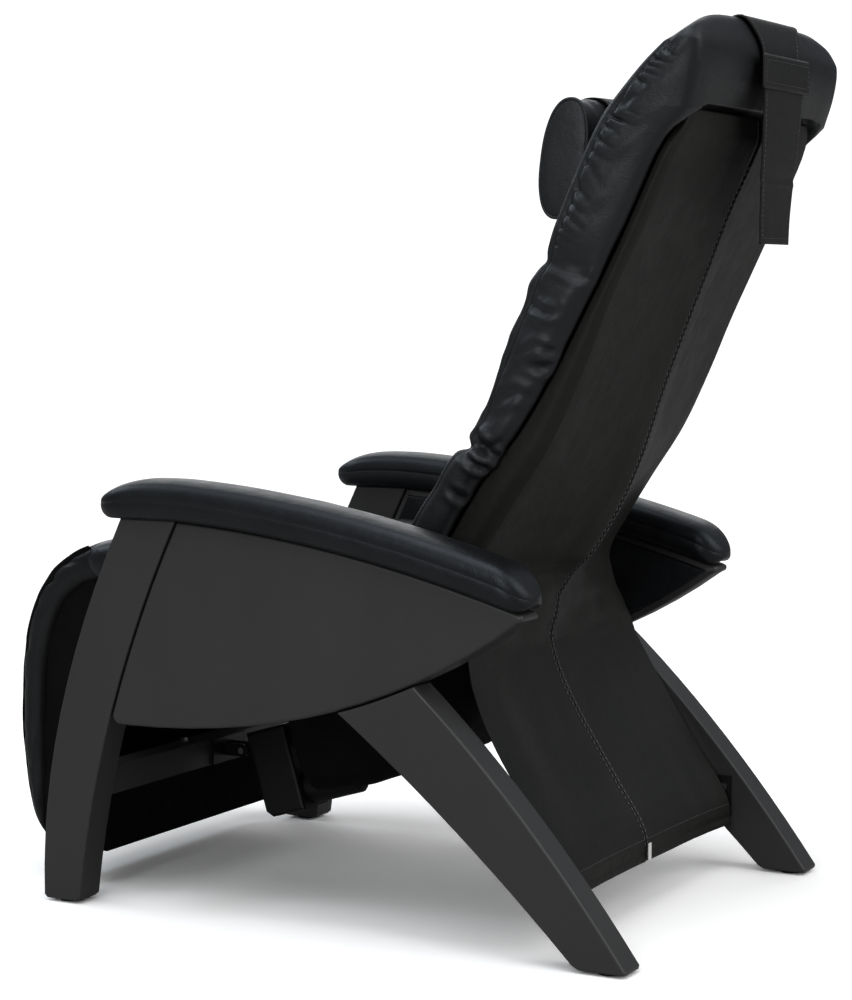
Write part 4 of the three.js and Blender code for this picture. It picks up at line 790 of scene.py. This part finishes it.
def arm_pad(name, side):
    t = np.linspace(0, 1, 170)
    start = ARM_FRONT + 6
    y = start + (ARM_REAR - start) * (t - 0.14 * np.sin(2 * np.pi * t))
    front, rear = y - y[0], y[-1] - y
    full = np.minimum(1 - rounding(front, 118, 2.9), 1 - rounding(rear, 52, 2.6))
    top = ARM_END_THICK + (ARM_THICK - ARM_END_THICK) * full
    low = ARM_NOSE_LIFT * rounding(front, 30, 2.1) + ARM_HEEL_LIFT * rounding(rear, 26, 2.2)
    plan = np.minimum(1 - rounding(front, 56, 2.5), 1 - rounding(rear, 44, 2.5))
    half_width = ARM_WIDTH / 2 * np.sqrt(np.maximum(plan, 0.004))
    height = np.maximum(top - low, 1.5)
    bottom = arm_top(y) + ARM_GAP + low
    sections, _ = section_grid([arm_half_shares * [w, h] for w, h in zip(half_width, height)], arm_steps)
    wrinkle = 1 + ARM_WRINKLE_SHARE * noise(y / 38, side * 3, 41)
    x = side * ARM_X + sections[..., 0]
    z = bottom[:, None] + sections[..., 1] * wrinkle[:, None]
    grid = np.stack([x, np.broadcast_to(y[:, None], x.shape), z], -1)
    piece = closed_loft(f"{name}_soft", grid, black_leather, "base")
    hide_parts(name)


for name, side in SIDES:
    arm_pad(f"{name}_arm_pad", side)

# Seat cushion: shares of its length from the rear, and of its thickness below and above, and of its width
SEAT_LENGTH = float(np.hypot(*(KNEE - HIP)))
SEAT_FROM, SEAT_RUN, SEAT_LIFT, SEAT_THICK, SEAT_HALF, SEAT_CROWN = 80.0, 500.1, 25.9, 66, 270, 9
seat_forward = (KNEE - HIP) / SEAT_LENGTH
seat_end_shares = np.array(
    [
        (0, 0.02, 0.66, 0.93), (0.02, 0, 0.88, 0.97), (0.07, 0, 0.98, 0.99), (0.2, 0, 1.02, 0.985),
        (0.35, 0, 1.04, 0.975), (0.5, 0, 1.04, 0.972), (0.65, 0, 1.03, 0.975), (0.8, 0, 1.01, 0.985),
        (0.9, 0, 0.97, 1), (0.95, 0.06, 0.9, 0.99), (0.985, 0.3, 0.76, 0.96), (1, 0.5, 0.62, 0.93),
    ]
)


def on_seat(along, up):
    return HIP + seat_forward * along[:, None] + outward_of(seat_forward) * up[:, None]


def seat_cushion():
    ahead, low, high, width = smooth_line(seat_end_shares)(np.linspace(0, 1, 120)).T
    along = SEAT_FROM + SEAT_RUN * ahead
    back, face = (on_seat(along, SEAT_LIFT + SEAT_THICK * share) for share in (low, high))
    grid, _ = pad_grid(back, face, SEAT_HALF * width, SEAT_CROWN * (high - low), pad_steps)
    piece = closed_loft("seat_cushion_soft", grid, black_leather, "seat")
    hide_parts("seat_cushion")


seat_cushion()

# Knee roll and legrest pad: one long cushion that bends at the knee
shin_face = smooth_line(
    [
        (-404, 519), (-432, 515.5), (-457, 507), (-484, 493), (-509, 474), (-531, 447), (-545, 423),
        (-556, 393), (-565, 348), (-569.5, 300), (-571, 254), (-569, 209), (-564, 163), (-558, 133),
        (-549, 103), (-536, 80), (-522, 66),
    ]
)
shin_back = smooth_line(
    [
        (-406, 462), (-430, 459), (-450, 455), (-466, 446), (-480, 436), (-490, 425), (-499, 411),
        (-508, 393), (-519, 360), (-527, 314), (-530, 262), (-530.3, 212), (-530.3, 163), (-530.3, 133),
        (-530.3, 108), (-530, 84), (-521, 62),
    ]
)
SHIN_HALF, SHIN_CROWN, SHIN_END_RISE, SHIN_CHANNELS = 258, 7, 6.0, (323, 239, 156)
CHANNEL_DEPTH, CHANNEL_DIP, SHIN_SEAM_DEPTH, SHIN_GATHER = 2.4, 0.8, 2.0, 3.4
SHIN_SWELL, SHIN_RIPPLE = 3.0, 1.3


def shin_pad():
    t = np.linspace(0, 1, 190)
    width = SHIN_HALF * (1 - 0.03 * bump(t, 1, 0.05) - 0.02 * bump(t, 0, 0.04))
    crown = SHIN_CROWN * np.minimum(1, np.minimum(0.3 + 4 * t, 0.2 + 6 * (1 - t)))
    grid, u = pad_grid(shin_back(t), shin_face(t), width, crown, back_steps)
    grid = rounded_ends(grid, SHIN_END_RISE)
    normal = grid_normals(grid, True, grid.mean(1, keepdims=True))
    x, z = grid[..., 0], grid[..., 2]
    side, faced = np.sign(x), ease(u, 6.6, 7.4)
    move = np.zeros(grid.shape[:2])
    for height in SHIN_CHANNELS:
        move -= CHANNEL_DEPTH * bump(z, height, 5) * faced + CHANNEL_DIP * bump(z, height, 22) * faced
    move -= SHIN_SEAM_DEPTH * bump(u, 6.95, 0.15)
    dent = np.maximum(np.sin(z / 8.5 + 4 * noise(z / 50, side * 5, 52)), 0) ** 1.5
    strength = 0.3 + 0.7 * np.abs(noise(z / 38, side * 7, 53))
    move -= SHIN_GATHER * bump(u, 6.3, 0.7) * dent * strength
    move += SHIN_SWELL * noise(z / 42, u * 0.6 + side * 5, 54) * ease(u, 3.6, 5) * (1 - 0.5 * faced)
    move += ease(-z, -470, -430) * SHIN_RIPPLE * noise(x / 35, z / 22, 55) * faced
    moved = grid + normal * move[..., None]
    piece = closed_loft("knee_and_legrest_pad", moved, shaded_legrest_leather, None)
    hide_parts("legrest_pad", "knee_roll")
    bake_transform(piece)


shin_pad()


# Flat upholstered or painted panels cut to an outline
def cad_outline(node, step=4.0):
    """The outline of a flat CAD piece seen from the side, in the part's millimetres."""
    mesh = frame["nodes"][node].data
    flat = (np.array([v.co for v in mesh.vertices]) / MM - [0, SHIFT, 0])[:, 1:]
    pairs = np.array([e.vertices for e in mesh.edges])
    centre = (flat.min(0) + flat.max(0)) / 2
    first, span = flat[pairs[:, 0]] - centre, flat[pairs[:, 1]] - flat[pairs[:, 0]]
    ways = flat - centre
    tiny, past = 1e-9, 0.001
    outline = []
    for turn in np.unique(np.round(np.arctan2(ways[:, 1], ways[:, 0]), 4)):
        ray = np.array([math.cos(turn), math.sin(turn)])
        cross = ray[0] * span[:, 1] - ray[1] * span[:, 0]
        safe = np.where(np.abs(cross) < tiny, tiny, cross)
        far = (first[:, 0] * span[:, 1] - first[:, 1] * span[:, 0]) / safe
        at = (first[:, 0] * ray[1] - first[:, 1] * ray[0]) / safe
        hit = far[(at > -past) & (at < 1 + past) & (np.abs(cross) > tiny)]
        outline.append(centre + ray * hit.max())
    count = int(run_of(np.array(outline + outline[:1]))[-1] / step)
    return resample(outline, count, True)


def inset_line(outline, amount):
    """A closed outline moved inwards by an amount, without the points that would overlap."""
    along = np.roll(outline, -1, 0) - np.roll(outline, 1, 0)
    along /= np.linalg.norm(along, axis=1, keepdims=True)
    inward = -outward_of(along)
    if ((outline.mean(0) - outline) * inward).sum() < 0:
        inward = -inward
    moved = outline + inward * amount
    if amount == 0:
        return moved
    kept = np.linalg.norm(moved[:, None] - outline[None], axis=2).min(1) > amount * 0.97
    spots = np.arange(len(moved))
    around = np.concatenate([spots[kept] + turn * len(moved) for turn in (-1, 0, 1)])
    return np.stack([np.interp(spots, around, np.tile(moved[kept, k], 3)) for k in range(2)], 1)


def rounded_plate(name, outline, x_from, x_to, round_by, material, swell=0.0):
    """A plate of the base with rounded rims, from one x to another, and a face that swells a little."""
    steps, face_steps = 5, 8
    toward = 1 if x_to > x_from else -1
    rings = [(round_by / 2, x_from), (0, x_from + toward * min(round_by / 2, abs(x_to - x_from) / 3))]
    for angle in np.linspace(0, math.pi / 2, steps + 1):
        rings.append((round_by * (1 - math.cos(angle)), x_to - toward * round_by * (1 - math.sin(angle))))
    middle, rim = outline.mean(0), inset_line(outline, round_by)
    lines = [inset_line(outline, inset) for inset, _ in rings]
    heights = [x for _, x in rings]
    for share in np.linspace(0, 1, face_steps + 1)[1:]:
        lines.append(rim + (middle - rim) * share * 0.985)
        heights.append(x_to + toward * swell * math.sin(share * math.pi / 2))
    grid = np.array([np.column_stack([np.full(len(line), x), line]) for line, x in zip(lines, heights)])
    return closed_loft(name, grid, material, "base")


PANEL_INSET, PANEL_ROUND = 1.7, 5.0
LINING_INSET, LINING_ROUND, LINING_SUNK, LINING_OUT, LINING_SWELL = 9.0, 4.0, 0.5, 6.0, 2.0
for name, side in SIDES:
    node = f"{name}_side_panel"
    inner, outer = sorted(abs(corner.x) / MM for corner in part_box(node))
    outline = inset_line(cad_outline(node), PANEL_INSET)
    panel = rounded_plate(
        f"{name}_panel_board", outline, side * inner, side * outer, PANEL_ROUND, frame_paint
    )
    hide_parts(node)
    lining_pad = rounded_plate(
        f"{name}_inner_arm_lining", inset_line(outline, LINING_INSET), side * (inner + LINING_SUNK),
        side * (inner - LINING_OUT), LINING_ROUND, black_leather, LINING_SWELL,
    )

# The legrest's sides, from the pad to the back of its box
LEGREST_SIDE_X, LEGREST_SIDE_THICK, LEGREST_SIDE_INSET = 253.5, 1.6, 4
legrest_back_shares = [0, 0.12, 0.3, 1]
LEGREST_BACK = ([-440, -436, -434, -436], [498, 440, 390, 78])


def legrest_side(name, side):
    t = np.linspace(0, 1, 60)
    front = shin_face(0.1 + 0.88 * t)
    back = np.stack([np.interp(t, legrest_back_shares, line) for line in LEGREST_BACK], 1)
    across = np.linspace(0, 1, 26)[None, :]
    grid = front[:, None] * (1 - across[..., None]) + back[:, None] * across[..., None]
    y, z = grid[..., 0], grid[..., 1]
    inset = LEGREST_SIDE_INSET * ease(across, 0.0, 0.35)
    folds = 1.6 * noise(y / 22, z / 46, 91) + 1.2 * noise(y / 60 + z / 30, z / 90, 92)
    outer = np.stack([side * (LEGREST_SIDE_X - inset + folds), y, z], -1)
    inner = outer - [side * LEGREST_SIDE_THICK, 0, 0]
    # the black lining here is partly a black cloth, partly painted shade on the legrest's sides
    piece = thick_grid(f"legrest_side_{name}", outer, inner, lining, None)
    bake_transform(piece)


for name, side in SIDES:
    legrest_side(name, side)

# Head pillow
pillow_place_shares = np.array([0.408, 0.787])
PILLOW = HIP + BACK * pillow_place_shares
PILLOW_END, PILLOW_THICK, PILLOW_TALL, PILLOW_LEAN = 176.0, 45, 83, 0.13
PILLOW_NARROWING, PILLOW_LOWERING, PILLOW_PIPING = 12, 3, 2.4
pillow_cap_shares = (0.3, 0.62, 0.88, 0.955)
PILLOW_CAP_OUT = np.array([3.4, 3.2, 2.4, 1.2])


def pillow_ring(x, shrink=1.0, grow=0.0, count=96):
    """One ring round the pillow at a distance from its middle."""
    share = abs(x) / PILLOW_END
    thick = PILLOW_THICK - PILLOW_NARROWING * share**2.2
    tall = PILLOW_TALL - PILLOW_LOWERING * share**3
    turn = np.linspace(0, 2 * np.pi, count, endpoint=False)
    c, s = (np.sign(wave) * np.abs(wave) ** 0.86 for wave in (np.cos(turn), np.sin(turn)))
    up, ahead = (tall * shrink + grow) * s, (thick * shrink + grow) * c
    return np.stack([0 * c + x, PILLOW[0] - ahead + up * PILLOW_LEAN, PILLOW[1] + up], -1)


def head_pillow():
    rings = [pillow_ring(-PILLOW_END, k) for k in pillow_cap_shares]
    for x in np.linspace(-PILLOW_END, PILLOW_END, 110):
        rings.append(pillow_ring(x, 0.985 + 0.015 * (1 - (abs(x) / PILLOW_END) ** 12)))
    rings += [pillow_ring(PILLOW_END, k) for k in pillow_cap_shares[::-1]]
    grid = np.array(rings)
    grid[:4, :, 0] -= PILLOW_CAP_OUT[:, None]
    grid[-4:, :, 0] += PILLOW_CAP_OUT[::-1, None]
    normal = grid_normals(grid, True, grid.mean(1, keepdims=True))
    x, z = grid[..., 0], grid[..., 2]
    ends = ease(np.abs(x), 90, 165) * (1 - ease(np.abs(x), 171, 176))
    move = 1.8 * noise(x / 60, z / 45, 71) * (1 - ease(np.abs(x), 140, 170))
    move += 1.6 * ends * np.sin(z / 6.5 + 3 * noise(x / 40, z / 60, 72))
    moved = grid + normal * move[..., None]
    piece = closed_loft("head_pillow_soft", moved, lit_cushion_leather, "head_pillow")
    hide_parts("head_pillow")
    for name, side in SIDES:
        edge = pillow_ring(side * (PILLOW_END - 0.6), 1.0, -0.4)
        piping(f"pillow_piping_{name}", edge, PILLOW_PIPING, lit_cushion_leather, "head_pillow")


head_pillow()

# Head strap over the hood, its hanging tail and stitched patch, and the tab on the pillow
STRAP_HALF, STRAP_SPREAD, STRAP_OFF, STRAP_THICK, STRAP_END = 66, 62, 5.2, 2.6, 1160
TAIL_TOP, TAIL_END, TAIL_OFF, TAIL_LEAN, TAIL_HALF, TAIL_TAPER, TAIL_THICK = 1196, 950, 5.5, 12, 72, 19, 2.4
PATCH_HALF, PATCH_LOW, PATCH_HIGH, PATCH_OFF, PATCH_THICK = 86.0, 1157.0, 1203.0, 8.2, 2.0
STRAP_LEAST_REAR, ON_LEATHER, PATCH_SEAM_INSET, PATCH_STITCH_OUT = 532.0, 1.5, 8, 2.1
TAB_HALF, TAB_THICK, TAB_OFF = 110, 2.2, 2.6
# the cushion's rear ends and its face begins at these places round its section
REAR_TURN, FACE_TURN = 3.0, 8.4
# the columns of a strap's grid that its edge stitches follow
STITCH_COLUMNS = (("left", -2), ("right", 1))


def on_hood(row, x, rear):
    """A point of the back cushion's rear or face at one row and one distance from the middle."""
    columns = np.nonzero(back_turns <= REAR_TURN if rear else back_turns >= FACE_TURN)[0]
    line = back_final[row, columns]
    line = line[np.argsort(line[:, 0])]
    return [x, np.interp(x, line[:, 0], line[:, 1]), np.interp(x, line[:, 0], line[:, 2])]


def strip(name, lines, thickness, body):
    """A flat strap from rows of points, with its middle surface and that surface's normals."""
    grid = np.array(lines)
    normal = grid_normals(grid)
    half = normal * thickness / 2
    return thick_grid(name, grid + half, grid - half, strap_leather, body), grid, normal


def edge_stitches(name, middle, out, body):
    """Stitches along both edges of a strap."""
    lines = middle + out * ON_LEATHER
    return [stitch_run(f"{name}_{end}", lines[:, k], body, FINE_STITCH) for end, k in STITCH_COLUMNS]


def head_strap():
    over = [(row, False) for row in range(row_at(8.3), len(back_final))]
    over += [(row, True) for row in range(len(back_final) - 1, row_at(10.6), -1)]
    halves = STRAP_HALF + STRAP_SPREAD * (1 - ease(np.linspace(0, 1, len(over)), 0.52, 0.97))
    spread = np.linspace(-1, 1, 33)
    lines = [[on_hood(row, half * k, rear) for k in spread] for (row, rear), half in zip(over, halves)]
    smooth = np.array(lines)
    inside = smooth.mean(1).mean(0) + [0, 0, -60]
    for _ in range(12):
        smooth[1:-1] = (smooth[:-2] + 2 * smooth[1:-1] + smooth[2:]) / 4
    normal = grid_normals(smooth)
    normal *= np.sign(((smooth - inside) * normal).sum(2).mean())
    raised = smooth + normal * STRAP_OFF
    raised[-1, :, 1] = np.maximum(raised[-1, :, 1], STRAP_LEAST_REAR)
    hang = [raised[-1] * [1, 1, 0] + [0, 0, z] for z in np.linspace(raised[-1, 0, 2] - 4, STRAP_END, 12)]
    for share, row in zip(np.linspace(0, 1, 13)[1:], hang):
        row[:, 0] *= 1 - 0.07 * share
        row[:, 1] -= 1.8 * share
    piece, middle, sheet = strip("head_strap_leather", list(raised) + hang, STRAP_THICK, "backrest")
    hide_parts("head_strap")
    out = sheet * np.sign(((middle - inside) * sheet).sum(2).mean())
    sides = edge_stitches("head_strap_stitches", middle[2:-8], out[2:-8], "backrest")
    return float(raised[-1, :, 1].max())


def strap_patch(y):
    """The patch that joins tail and strap, with a stitched rim."""
    height = PATCH_LOW + (PATCH_HIGH - PATCH_LOW) * np.linspace(0, 1, 22)[:, None]
    columns = np.linspace(-1, 1, 60)[None, :]
    edge = np.minimum(height - PATCH_LOW, PATCH_HIGH - height)
    edge = np.minimum((1 - np.abs(columns)) * PATCH_HALF, edge)
    rise = 1.6 * ease(edge, 0, 3.0) + 0.7 * bump(edge, 3.8, 2.2)
    x, z = (np.broadcast_to(line, rise.shape) for line in (columns * PATCH_HALF, height))
    front, rear = np.stack([x, y + rise, z], -1), np.stack([x, 0 * rise + y - PATCH_THICK, z], -1)
    patch = thick_grid("strap_patch", front, rear, strap_leather, "strap_tail")
    half = PATCH_HALF - PATCH_SEAM_INSET
    low, high = PATCH_LOW + PATCH_SEAM_INSET, PATCH_HIGH - PATCH_SEAM_INSET
    corners = [(-half, low), (half, low), (half, high), (-half, high), (-half, low)]
    loop = resample([(x, y + PATCH_STITCH_OUT, z) for x, z in corners], 200)
    return [patch, stitch_run("strap_patch_stitches", loop, "strap_tail", FINE_STITCH)]


def strap_tail(strap_rear):
    z = np.linspace(TAIL_TOP, TAIL_END, 90)[:, None]
    t = (TAIL_TOP - z) / (TAIL_TOP - TAIL_END)
    spread = np.linspace(-1, 1, 25)
    half = TAIL_HALF - TAIL_TAPER * ease(t, 0.12, 1.05)
    fold = 0.8 * bump(z, 1032, 3.5) - 0.8 * bump(z, 1040, 7) + 1.0 * noise(z / 40, 0, 81)
    y = strap_rear + TAIL_OFF - TAIL_LEAN * ease(t, 0.15, 1) + fold - 1.6 * spread**2
    grid = np.stack([half * spread, y, np.broadcast_to(z, y.shape)], -1)
    tail, middle, normal = strip("strap_tail_leather", grid, TAIL_THICK, "strap_tail")
    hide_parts("strap_tail")
    out = normal * np.sign(normal[40, 12, 1])
    trim = edge_stitches("strap_tail_stitches", middle[16:-3], out[16:-3], "strap_tail")
    end = middle[-4] + out[-4] * ON_LEATHER
    trim.append(stitch_run("strap_tail_stitches_end", end[1:-1], "strap_tail", FINE_STITCH))
    trim += strap_patch(strap_rear + PATCH_OFF)


def pillow_tab():
    ring = pillow_ring(0, 1.0, TAB_OFF)
    top = ring[(ring[:, 2] > PILLOW[1] + 52) & (ring[:, 1] > PILLOW[0] - 14)]
    top = top[np.argsort(top[:, 1])][:-3]
    path = resample(np.vstack([top[:, 1:], top[-1, 1:] + [[5, 2], [10, 4]]]), 24)
    lines = [[(TAB_HALF * k, y, z - 1.2 * k * k) for k in np.linspace(-1, 1, 21)] for y, z in path]
    piece, middle, _ = strip("pillow_tab_leather", lines, TAB_THICK, "head_pillow")
    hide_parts("pillow_tab")


strap_tail(head_strap())
pillow_tab()

# A slack black cloth between the seat rails, behind the motor: its lowest line in the side view
CLOTH_HALF, CLOTH_FRONT, CLOTH_REAR, CLOTH_EDGE, CLOTH_THICK = 244, -128, 168, 398, 0.8
CLOTH_CUT, CLOTH_CUT_WIDTH = 74, 42
CLOTH_Y, CLOTH_LOW = [-128, -60, -23, 44, 98, 150, 168], [148, 162, 176, 203, 247, 300, 322]


def dust_cover():
    x = np.linspace(-CLOTH_HALF, CLOTH_HALF, 101)[None, :]
    # its front edge is cut back in the middle, where the drive comes near as the seat tilts
    front = CLOTH_FRONT + CLOTH_CUT * bump(x, 0, CLOTH_CUT_WIDTH)
    y = front + (CLOTH_REAR - front) * np.linspace(0, 1, 72)[:, None]
    low = np.interp(y, CLOTH_Y, CLOTH_LOW)
    share = np.abs(x / CLOTH_HALF)
    z = low + (CLOTH_EDGE - low) * share**5
    z = z + 5.0 * noise(x / 70, y / 60, 61) * (1 - share**4)
    z = z + 3.0 * np.sin(y / 9 + 2 * noise(x / 60, y / 90, 62)) * share**2 * (1 - share)
    grid = np.stack([np.broadcast_to(x, z.shape), y, z], -1)
    normal = grid_normals(grid)
    normal *= np.sign(normal[30, 40, 2])
    piece = thick_grid("seat_dust_cover", grid, grid - CLOTH_THICK * normal, lining, "seat")


dust_cover()

# Materials of the CAD nodes that stay
slot_of = {part["node"]: part["material_slot"] for part in frame["record"]["subparts"]}
# The legrest frame, its plates and the seat deck take the black lining in place of their own finishes: partly
# a black cloth, partly painted shade under the seat and inside the legrest
shade_lined_nodes = ("legrest_frame", "left_legrest_plate", "right_legrest_plate", "seat_deck")
for name, node in frame["nodes"].items():
    if node.hide_render:
        continue
    finish = lining if name in shade_lined_nodes else finishes.get(slot_of.get(name, ""), steel_coat)
    for material_slot in node.material_slots:
        material_slot.material = finish


# Floor and studio light
FLOOR_HALF, FLOOR_GREY, FLOOR_SEEN = 40.0, 0.4, 1.2
SKY_SEEN, SKY_LIT, SHINE_LOW, SHINE_HIGH, SHINE_FROM = 1.2, 0.33, 0.08, 0.62, 0.1
COOL, WHITE = (0.84, 0.92, 1), (1, 1, 1)


def make_stage():
    """A pale floor that the camera sees well exposed, with its shadows left deep."""
    material = bpy.data.materials.new("floor_white")
    material.use_nodes = True
    material.node_tree.nodes.clear()
    n = Nodes(material.node_tree)
    seen = n.add("ShaderNodeLightPath").outputs["Is Camera Ray"]
    surface = n.add("ShaderNodeBsdfDiffuse", {"Color": n.ramp(seen, 0, 1, FLOOR_GREY, FLOOR_SEEN)})
    n.add("ShaderNodeOutputMaterial", {"Surface": surface.outputs["BSDF"]})
    mesh = bpy.data.meshes.new("floor")
    corners = [(-1, -1, 0), (1, -1, 0), (1, 1, 0), (-1, 1, 0)]
    mesh.from_pydata([[FLOOR_HALF * k for k in corner] for corner in corners], [], [[0, 1, 2, 3]])
    mesh.materials.append(material)
    floor = bpy.data.objects.new("floor", mesh)
    scene.collection.objects.link(floor)


def make_world():
    """Camera rays see white; other rays see even light, and surfaces gleam in a room that is dark below."""
    world = bpy.data.worlds.new("studio")
    scene.world = world
    world.use_nodes = True
    world.node_tree.nodes.clear()
    n = Nodes(world.node_tree)
    rays = n.add("ShaderNodeLightPath").outputs
    place = n.add("ShaderNodeTexCoord").outputs["Generated"]
    up = n.add("ShaderNodeSeparateXYZ", {"Vector": place}).outputs["Z"]
    gleam = n.ramp(up, SHINE_FROM, 1, SHINE_LOW, SHINE_HIGH)
    seen, lit, shiny = (
        n.add("ShaderNodeBackground", {"Color": (*colour, 1), "Strength": strength}).outputs["Background"]
        for colour, strength in ((WHITE, SKY_SEEN), (WHITE, SKY_LIT), ((0.82, 0.9, 1), gleam))
    )
    unseen = n.add("ShaderNodeMixShader", {"Fac": rays["Is Glossy Ray"], 1: lit, 2: shiny}).outputs["Shader"]
    sky = n.add("ShaderNodeMixShader", {"Fac": rays["Is Camera Ray"], 1: unseen, 2: seen}).outputs["Shader"]
    n.add("ShaderNodeOutputWorld", {"Surface": sky})


def new_light(name, kind, power, colour):
    data = bpy.data.lights.new(name, kind)
    data.energy = power
    data.color = colour
    light = bpy.data.objects.new(name, data)
    scene.collection.objects.link(light)
    return light, data


def wide_sun(around, above, spread, strength):
    """Even light from one side of the room, as from a very large soft box far away, by degrees."""
    light, data = new_light("room_light", "SUN", strength, WHITE)
    data.angle = math.radians(spread)
    a, e = math.radians(around), math.radians(above)
    toward = Vector((math.cos(a) * math.cos(e), math.sin(a) * math.cos(e), math.sin(e)))
    light.rotation_euler = toward.to_track_quat("Z", "Y").to_euler()


def soft_box(name, place, aim_height, size, power, colour):
    """A soft box that shines at a height over the chair's middle, by metres and watts."""
    light, data = new_light(name, "AREA", power, colour)
    data.shape = "RECTANGLE"
    data.size, data.size_y = size
    light.location = place
    ray = Vector((0, 0, aim_height)) - Vector(place)
    light.rotation_euler = ray.to_track_quat("-Z", "Y").to_euler()
    light.visible_camera = False


make_stage()
make_world()
for sun in ((0, 65, 45, 1.0), (95, 32, 55, 1.45), (210, 25, 50, 0.7)):
    wide_sun(*sun)
soft_box("left_light", (4.4, 0.3, 2.0), 0.75, (2.6, 1.7), 58, (0.97, 0.985, 1))
soft_box("front_light", (0.4, -3.4, 3.2), 0.7, (1.6, 1.0), 32, COOL)
soft_box("top_light", (0.5, -0.3, 3.4), 0.5, (1.1, 1.5), 12, COOL)
scene.view_settings.view_transform = "Standard"
scene.view_settings.look = "None"
